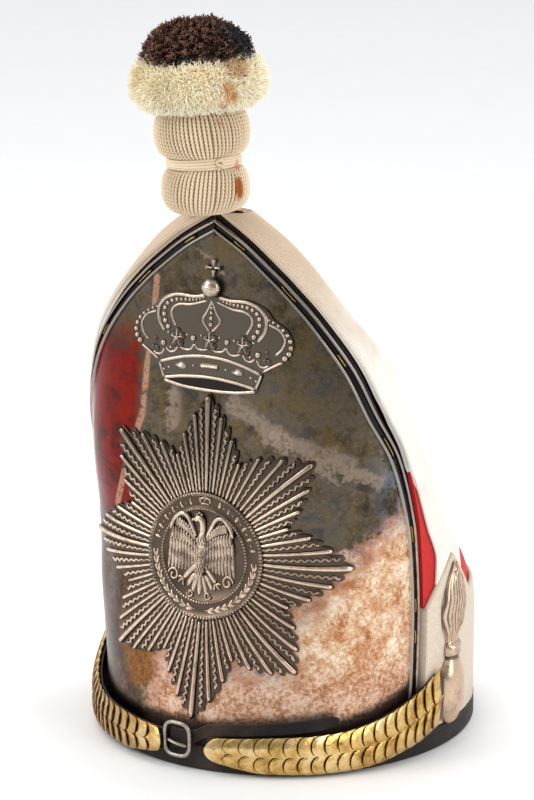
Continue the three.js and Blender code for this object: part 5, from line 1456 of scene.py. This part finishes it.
def scales(side):
    """Brass scales in a row: each is an arched sheet whose free edge is two half circles and lies
    over the scale before it, tipped outwards by one thickness."""
    number = np.arange(SCALE_COUNT)[:, None, None]
    across = np.linspace(-1, 1, 33)[None, None]
    along = (np.linspace(0, 1, 11) ** 1.3)[None, :, None]
    pitch = GIRTH_RADIUS * (bearing_at(number + 1) - bearing_at(number))
    lobes = 1 - np.sqrt(np.maximum(1 - (2 * np.abs(across) - 1) ** 2, 0))
    free = np.where(number == 0, (1 - np.sqrt(1 - across**2)) * 5.2, lobes * 3.3) / pitch
    last = 1 + SCALE_OVERLAP
    past = free + (last - free) * along
    bearing = bearing_at(number + past)
    half = strap_width(bearing) / 2
    puff = np.where(number == 0, 1 - across**2, 1 - (2 * np.abs(across) - 1) ** 2)
    near_edge = np.exp(-((along * (last - free) * pitch / 1.3) ** 2))
    lift = (ON_STRAP + SCALE_ARCH * (1 - across**2)
            + (SCALE_THICKNESS + CLEARANCE) * (last - past) + 0.75 * puff * (1 - along) - 0.25 * near_edge)
    middle = strap_middle(bearing)
    wobble = np.sin(number * 12.9898) * 0.35
    height = middle + across * half + wobble
    mirror = np.array([side, 1, 1])
    forms = []
    for index in range(SCALE_COUNT):
        face = on_rim(bearing[index], height[index], lift[index] + SCALE_THICKNESS) * mirror
        back = on_rim(bearing[index], height[index], lift[index]) * mirror
        # Tone marks where the brass paints the shadow of the next scale's edge
        hidden = (1 + lobes[0] * 3.3 / pitch[index] - past[index]) * pitch[index]
        tone = np.exp(-((np.maximum(hidden, 0) / (1.0 if index < 8 else 0.42)) ** 2))
        forms.append(shell(face, back, None, tone))
    return forms


def wire_loop():
    """Buckle: a round wire bent to a rounded oblong, lying on the strap."""
    turn = np.linspace(0, 2 * math.pi, 97)[:-1]
    bend = 0.62
    x = np.sign(np.cos(turn)) * np.abs(np.cos(turn)) ** bend * BUCKLE_WIDTH / 2
    up = np.sign(np.sin(turn)) * np.abs(np.sin(turn)) ** bend * BUCKLE_HEIGHT / 2
    middle = follow(TONGUE_ROUTE, "bearing", "middle", np.degrees(BUCKLE_BEARING))
    path = on_rim(BUCKLE_BEARING + x / HALF_WIDTH, middle + up, ON_STRAP + 1.1)
    out = on_rim(BUCKLE_BEARING, 0, 1) - on_rim(BUCKLE_BEARING, 0, 0)
    return strands(path[None], 1.05, 10, 0.9, out, True, (0.3, 1.0))


def prong():
    middle = follow(TONGUE_ROUTE, "bearing", "middle", np.degrees(BUCKLE_BEARING))
    share = np.linspace(0, 1, 16)
    bearing = BUCKLE_BEARING + (share - 0.5) * 11.4 / HALF_WIDTH
    lift = ON_STRAP + 0.8 + np.sin(math.pi * share)
    path = on_rim(bearing, middle - 1 - share * 2, lift)
    return strands(path[None], 0.78 * taper(16, 0.1), 8, 1.0, (0, -1, 0), tone=(0.3, 1.0))


# Pompom, about its own axis
FRONT_TURN = math.radians(-60)
LOWER_BALL = (0.0, LOWER_BALL_HEIGHT, LOWER_BALL_RADIUS, BALL_FOOT_RADIUS, WAIST_RADIUS)
TIE_FOOT = LOWER_BALL_HEIGHT + CLEARANCE
UPPER_FOOT = TIE_FOOT + TIE_HEIGHT + CLEARANCE
UPPER_BALL = (UPPER_FOOT, UPPER_BALL_HEIGHT, UPPER_BALL_RADIUS, WAIST_RADIUS, WAIST_RADIUS)
FUR_FOOT = UPPER_FOOT + UPPER_BALL_HEIGHT + CLEARANCE
WOOL_FOOT = FUR_FOOT + FUR_HEIGHT + CLEARANCE


def ball_profile(ball, share):
    """Radius and height up a wound ball: its neck radius swells by the cosine of the rise."""
    foot, height, radius, below, above = ball
    turn = (share - 0.5) * math.pi
    neck = np.where(share < 0.5, below, above)
    return neck + (radius - neck) * np.cos(turn) ** 0.8, foot + height * (1 + np.sin(turn)) / 2


def turned(radius, height, turn):
    """Rings about the pompom's axis, one for each radius and height."""
    radius, height = radius[:, None], height[:, None]
    return np.stack([radius * np.cos(turn), radius * np.sin(turn), height + 0 * turn], -1)


def wound_ball(ball, cords, slant):
    """Two-ply cords laid up and over a core: each ply circles its cord while the cord runs up the
    ball's profile with a little slant. Tone marks the outer side of each ply."""
    share = np.linspace(0.004, 0.996, 80)
    radius, height = ball_profile(ball, share)
    core_turn = np.linspace(0, 2 * math.pi, 40, endpoint=False)
    core_radius = np.concatenate([[0], radius - 1.35, [0]])
    core_height = np.concatenate([[height[0] + 0.3], height, [height[-1] - 0.3]])
    core = turned(core_radius, core_height, core_turn)
    forms = [Form(on_pompom(core), grid_faces(len(core_radius), 40, round_columns=True), None, 0.0)]
    number = np.arange(cords)[:, None]
    wander = RANDOM.uniform(-0.12, 0.12, (cords, 1))
    turn = (number + wander * (1 - (2 * share - 1) ** 2)) * 2 * math.pi / cords + slant * (share - 0.5)[None]
    pitch = 2 * math.pi * np.maximum(radius, 12.0) / cords
    ply = np.minimum(pitch * 0.30, 0.80)[None]
    run = np.concatenate([[0], np.cumsum(np.hypot(np.diff(radius), np.diff(height)))])
    out = np.stack([np.cos(turn), np.sin(turn), 0 * turn], -1)
    sideways = np.stack([-np.sin(turn), np.cos(turn), 0 * turn], -1)
    base = out * (radius - 1.1)[None, :, None] + np.array([0, 0, 1]) * height[None, :, None]
    for phase in (0, math.pi):
        twist = run * 2 * math.pi / 3.6 + phase + number * 0.3
        off = out * 0.70 * np.cos(twist)[..., None] + sideways * 0.44 * np.sin(twist)[..., None]
        path = base + off * ply[..., None]
        forms.append(strands(on_pompom(path), ply * taper(80, 0.02), 4, 1.0, unit(out), tone=(-0.1, 1.0)))
    return forms


def cord_tie():
    """Turns of thin cord round the waist over a core, with a small knot in front."""
    turn = np.linspace(0, 2 * math.pi, 120, endpoint=False)
    forms = []
    for level in range(4):
        height = TIE_FOOT + 0.8 + level * 1.25 + 0.25 * np.sin(turn * 2 + level)
        radius = WAIST_RADIUS + (0.7 if level in (0, 3) else 1.2)
        path = np.stack([radius * np.cos(turn), radius * np.sin(turn), height], -1)
        forms.append(strands(on_pompom(path)[None], 0.82, 8, 1.0, (0, 0, 1), True, (0.5, 1.0)))
    radius = np.array([0, WAIST_RADIUS + 0.6, WAIST_RADIUS + 0.6, 0])
    height = TIE_FOOT + np.array([0.2, 0.2, TIE_HEIGHT - 0.3, TIE_HEIGHT - 0.3])
    core = turned(radius, height, turn)
    forms.append(Form(on_pompom(core), grid_faces(4, 120, round_columns=True), None, 0.2))
    front = math.radians(-36)
    knot = np.array([[17.6, 0, -0.6], [19.2, 0.8, 1.6], [18.6, -1.2, 3.2], [19.4, 0.6, 4.6], [18.0, 1.6, 2.4],
                     [18.6, -0.6, 0.6]])
    out, aside, up = knot.T
    cosine, sine = math.cos(front), math.sin(front)
    knot = np.stack([out * cosine - aside * sine, out * sine + aside * cosine, up + TIE_FOOT], -1)
    knot = on_pompom(smooth_path(knot, 40))[None]
    forms.append(strands(knot, 0.75 * taper(40, 0.05), 8, 1.0, (0, 0, 1), tone=(0.4, 1.0)))
    return forms


def dome(rise, share_round, radius, foot, height):
    """Point and outward direction on a rounded ring by rise on its section and share of its round."""
    turn = share_round * 2 * math.pi
    out = np.stack([np.cos(turn), np.sin(turn), 0 * turn], -1)
    ring = height / 2
    around = radius - ring + ring * np.cos(rise)
    points = out * around[..., None]
    points[..., 2] = foot + ring * (1 + np.sin(rise))
    normal = out * np.cos(rise)[..., None]
    normal[..., 2] = np.sin(rise)
    return points, normal


def fleece():
    """Short cream pile: tapered wavy fibres in leaning tufts on a ring's outer side, over a core. The
    pile stands higher round the back and the sides than at the front."""
    count = 9000
    share = RANDOM.uniform(0, 1, count)
    rise = RANDOM.uniform(-1.45, 1.60, count)
    tuft = np.floor(share * 40) * 7 + np.floor((rise + 2) * 4.5)
    lean = np.stack([np.sin(tuft * 12.98), np.sin(tuft * 78.23), np.sin(tuft * 37.72)], -1) * 0.42
    points, normal = dome(rise, share, FUR_RADIUS - 2.6, FUR_FOOT + 1.2, FUR_HEIGHT - 1.6)
    apart = np.abs((share * 2 * math.pi - FRONT_TURN + math.pi) % (2 * math.pi) - math.pi)
    brim = np.clip((rise - 0.3) / 1.1, 0, 1)
    points[:, 2] += brim * (4.6 * np.clip(apart / 1.5, 0, 1) ** 1.5 + 1.0 * np.cos(apart * 5.5))
    way = unit(normal + lean + RANDOM.normal(0, 0.25, (count, 3)) + brim[:, None] * np.array([0, 0, 0.5]))
    length = RANDOM.uniform(2.4, 4.4, count)[:, None, None]
    step = np.linspace(-0.25, 1, 4)[None, :, None]
    curl = unit(np.cross(way, RANDOM.normal(0, 1, (count, 3))))[:, None]
    path = points[:, None] + way[:, None] * length * step + curl * np.sin(step * 3.2) * 0.6
    radii = RANDOM.uniform(0.25, 0.44, count)[:, None] * np.array([1.0, 1.0, 0.66, 0.0])
    fibres = strands(on_pompom(path), radii, 3, 1.0, (0.1, 0.2, 1))
    fibres.tone = np.broadcast_to((step[..., 0] + 0.25)[..., None], (count, 4, 3)).ravel()
    turn = np.linspace(0, 1, 72, endpoint=False)[None]
    section_turn = np.linspace(-math.pi / 2, math.pi / 2, 20)[:, None]
    section_turn, turn = np.broadcast_arrays(section_turn, turn)
    core, _ = dome(section_turn, turn, FUR_RADIUS - 2.9, FUR_FOOT + 1.0, FUR_HEIGHT - 1.6)
    axis_low, axis_high = core[:1] * [0, 0, 1], core[-1:] * [0, 0, 1]
    core = np.concatenate([axis_low, core, axis_high])
    return [fibres, Form(on_pompom(core), grid_faces(22, 72, round_columns=True), None, 0.35)]


def curls():
    """Dark curly wool: small tight coils standing on a dome that is flatter to one side."""
    count = 3400
    share = RANDOM.uniform(0, 1, count)
    lift = np.arcsin(RANDOM.uniform(0.0, 0.995, count))
    turn = share * 2 * math.pi
    out = np.stack([np.cos(turn) * np.cos(lift), np.sin(turn) * np.cos(lift), np.sin(lift)], -1)
    sizes = np.array([WOOL_RADIUS, WOOL_RADIUS, WOOL_HEIGHT])
    base = out * (sizes - [3.2, 3.2, 3.6]) + [0, 0, WOOL_FOOT]
    lump = np.sin(turn * 3 + 1) * np.cos(lift * 3) + np.sin(turn * 7 + lift * 5) * 0.6
    clump = np.sin(turn * 17 + 2 * np.sin(lift * 9)) * np.sin(lift * 15 + 2 * np.sin(turn * 5))
    lump = lump + 1.1 * clump
    normal = unit(out / sizes)
    base = base + normal * lump[:, None]
    first = unit(np.cross(normal, RANDOM.normal(0, 1, (count, 3))))
    second = np.cross(normal, first)
    step = np.linspace(0, 1, 7)[None, :, None]
    spin = step * RANDOM.uniform(5.0, 9.0, (count, 1, 1)) + RANDOM.uniform(0, 6.3, (count, 1, 1))
    wide = RANDOM.uniform(0.45, 0.85, (count, 1, 1))
    path = (base[:, None] + normal[:, None] * step * RANDOM.uniform(1.6, 3.6, (count, 1, 1))
            + (first[:, None] * np.cos(spin) + second[:, None] * np.sin(spin)) * wide * (1 - 0.4 * step))
    radii = RANDOM.uniform(0.34, 0.48, count)[:, None] * np.array([0.4, 1, 1, 1, 0.9, 0.7, 0])
    coils = strands(on_pompom(path), radii, 3, 1.0, normal[:, None])
    coils.tone = np.broadcast_to(step * (0.55 + 0.45 * clump)[:, None, None], (count, 7, 3)).ravel()
    ring = np.linspace(0, 2 * math.pi, 60, endpoint=False)
    rise = np.linspace(0, math.pi / 2, 16)
    core = turned(np.cos(rise) * (WOOL_RADIUS - 3), WOOL_FOOT + np.sin(rise) * (WOOL_HEIGHT - 3.4), ring)
    core = np.concatenate([core[:1] * [0, 0, 1], core])
    return [coils, Form(on_pompom(core), grid_faces(17, 60, round_columns=True), None, 0.0)]


# Dressing the cap
def world_place(point):
    return tuple(on_pompom(np.array(point, float)) * MM + RIM_MIDDLE)


CORD_STAINS = (
    (world_place((21.0, -3.0, 12.5)), 0.0042, (0.42, 0.13, 0.03)),
    (world_place((18.5, 0.5, 23.0)), 0.0022, (0.75, 0.32, 0.28)),
    (world_place((20.0, -14.0, 47.0)), 0.0034, (0.66, 0.30, 0.06)),
)
FLEECE_STAINS = (
    (world_place((29.0, -17.0, 57.0)), 0.0058, (0.66, 0.25, 0.03)),
    (world_place((28.2, -18.5, 62.5)), 0.0046, (0.70, 0.40, 0.15)),
    (world_place((24.6, -17.6, 52.5)), 0.0030, (0.60, 0.30, 0.10)),
    (world_place((26.0, -9.0, 72.0)), 0.0100, (0.66, 0.46, 0.24)),
    (world_place((-20.0, -27.0, 70.0)), 0.0100, (0.86, 0.74, 0.50)),
    (world_place((0.0, -30.0, 62.0)), 0.0120, (0.88, 0.78, 0.56)),
)

# Painted shade: a blue-black patch on the side of the wool top
WOOL_SHADES = ((world_place((24.0, 6.0, 84.0)), 0.0190, (0.026, 0.028, 0.036)),)

PLATE_METAL = plate_metal()
RELIEF = relief_metal("stamped_silver", (0.095, 0.068, 0.050), (0.92, 0.72, 0.56), 0.22, 0.4, 0.75)
CROWN_METAL = relief_metal("crown_silver", (0.105, 0.088, 0.068), (0.60, 0.48, 0.39), 0.26)
BADGE = relief_metal("badge_silver", (0.16, 0.130, 0.100), (0.68, 0.56, 0.44), 0.26, 0.2)
BRASS = scale_brass()
BLACK_LEATHER = leather("black_leather", (0.014, 0.011, 0.010), (0.060, 0.040, 0.030), 0.45)
STRAP_LEATHER = leather("strap_leather", (0.007, 0.006, 0.006), (0.085, 0.048, 0.028), 0.42)
RED_WOOL = felt("red_broadcloth", (0.72, 0.035, 0.030), (0.46, 0.014, 0.012), 0.10)
CREAM_WOOL = cuff_cloth()
TAPE = ribbed_tape()
CORD = cord_wool("cream_cord", (0.84, 0.69, 0.49), (0.34, 0.22, 0.12), CORD_STAINS)
FLEECE = pile("cream_fleece", (0.97, 0.82, 0.52), (1.0, 0.95, 0.78), FLEECE_STAINS)
CURLS = pile("brown_wool", (0.007, 0.004, 0.003), (0.32, 0.155, 0.095), WOOL_SHADES, 0.04)
WIRE = plain_wire("buckle_wire", (0.42, 0.38, 0.33), 0.28)
STITCH_WIRE = plain_wire("stitch_brass", (0.42, 0.28, 0.06), 0.3)
HOLE = leather("stitch_hole", (0.004, 0.004, 0.004), (0.012, 0.010, 0.009), 0.8)

piece("plate_sheet", [front_plate()], PLATE_METAL, "plate_metal", ["front_plate"], 60)
piece("plate_stitches", [stitches()], STITCH_WIRE, "brass", [])
piece("stitch_holes", [stitch_holes()], HOLE, "leather", [])
piece("plate_leather", [plate_leather()], BLACK_LEATHER, "leather", ["plate_backing"])
boss = [medallion(), ring_rope(33.2, 0.95, 2.0, 120), ring_rope(MEDALLION_INNER_RADIUS, 0.7, 2.3, 96),
        *star_ring_work(), *eagle()]
piece("star_relief", [star_ground(), *star_rays(), *dulled(boss, 0.86)], RELIEF, "relief_metal", ["star"], 60)
piece("crown_relief", crown(), CROWN_METAL, "relief_metal", ["crown"], 60)
piece("red_bag", [bag()], RED_WOOL, "red_cloth", ["bag"])
piece("wool_cuff", [cuff()], CREAM_WOOL, "cuff_cloth", ["cuff"])
piece("leather_band", [leather_band()], BLACK_LEATHER, "leather", ["leather_rim"])
for word, side in (("left", 1), ("right", -1)):
    piece(f"tape_{word}", [tape(side)], TAPE, "tape", [f"side_tape_{word}"])
    piece(f"grenade_badge_{word}", [grenade(side)], BADGE, "relief_metal", [f"grenade_{word}"], 60)
    piece(f"strap_{word}", [chin_strap(side)], STRAP_LEATHER, "strap_leather", [f"chin_strap_{word}"])
    chain = [f"scale_{word}_{number + 1}" for number in range(SCALE_COUNT)]
    piece(f"chain_{word}", scales(side), BRASS, "brass", chain)
piece("tongue", [tongue()], STRAP_LEATHER, "strap_leather", ["strap_tongue"])
piece("buckle_wire", [wire_loop()], WIRE, "buckle_metal", ["buckle_frame"])
piece("prong_wire", [prong()], WIRE, "buckle_metal", ["buckle_prong"])
piece("cord_ball_lower", wound_ball(LOWER_BALL, 60, 0.25), CORD, "cord", ["pompom_lower_ball"])
piece("cord_ball_upper", wound_ball(UPPER_BALL, 66, -0.15), CORD, "cord", ["pompom_upper_ball"])
piece("cord_turns", cord_tie(), CORD, "cord", ["pompom_tie"])
piece("fleece_ring", fleece(), FLEECE, "fur", ["fur_ring"])
piece("wool_curls", curls(), CURLS, "wool", ["wool_top"])


# Floor, light and camera
EYE_AZIMUTH = math.radians(29.94)
EYE_YAW = math.radians(0.41)
EYE_PITCH = math.radians(14.0)
EYE_DISTANCE = 1.62266
EYE_HEIGHT = 0.57134
FOCAL_LENGTH_IN_PIXELS = 3274.09
PHOTO_HEIGHT_IN_PIXELS = 800
SENSOR_SIZE = 36


def pale_floor():
    s = Shader("pale_floor")
    speck = s.noise(30, 3)
    return s.finish(s.mix(speck, (0.86, 0.86, 0.87), (0.90, 0.90, 0.90)), 0.55, None, Specular_IOR_Level=0.3)


bpy.ops.mesh.primitive_plane_add(size=14)
floor = bpy.context.object
floor.name = "floor"
floor.data.materials.append(pale_floor())


def soft_light(name, place, size, power, target=(0, 0, 0.17)):
    data = bpy.data.lights.new(name, "AREA")
    data.shape = "RECTANGLE"
    data.size, data.size_y = size
    data.energy = power
    lamp = bpy.data.objects.new(name, data)
    lamp.location = place
    lamp.rotation_euler = (Vector(target) - Vector(place)).to_track_quat("-Z", "Y").to_euler()
    bpy.context.scene.collection.objects.link(lamp)


soft_light("key_left", (-1.3, -1.3, 1.3), (0.9, 1.2), 16)
soft_light("fill_right", (1.9, -0.4, 1.0), (0.9, 1.3), 12)
soft_light("top", (0.0, 0.3, 2.2), (1.6, 1.6), 14)


def studio_world():
    """Even white room whose wall behind the camera is darker, so that the metal has contrast."""
    world = bpy.data.worlds.new("studio")
    s = Shader("studio", world)
    toward = (math.sin(EYE_AZIMUTH), -math.cos(EYE_AZIMUTH), 0.12)
    facing = s.node("ShaderNodeVectorMath", {"operation": "DOT_PRODUCT"}, {0: s.place, 1: toward}, "Value")
    colour = s.mix(facing.step(0.45, 0.95), (0.98, 0.99, 1.0), (0.40, 0.39, 0.38))
    surround = s.node("ShaderNodeBackground", {}, {"Color": colour, "Strength": 1.0})
    s.node("ShaderNodeOutputWorld", {}, {"Surface": surround}, None)
    return world


scene = bpy.context.scene
scene.world = studio_world()
scene.view_settings.view_transform = "Standard"

camera_data = bpy.data.cameras.new("camera")
camera_data.sensor_width = SENSOR_SIZE
camera_data.lens = FOCAL_LENGTH_IN_PIXELS / PHOTO_HEIGHT_IN_PIXELS * SENSOR_SIZE
camera_data.clip_end = 60
camera = bpy.data.objects.new("camera", camera_data)
eye = (EYE_DISTANCE * math.sin(EYE_AZIMUTH), -EYE_DISTANCE * math.cos(EYE_AZIMUTH), EYE_HEIGHT)
camera.location = Vector(eye) + Vector(RIM_MIDDLE)
heading = EYE_AZIMUTH + EYE_YAW
level = math.cos(EYE_PITCH)
sight = Vector((-math.sin(heading) * level, math.cos(heading) * level, -math.sin(EYE_PITCH)))
camera.rotation_euler = sight.to_track_quat("-Z", "Y").to_euler()
scene.collection.objects.link(camera)
scene.camera = camera

bpy.context.view_layer.update()
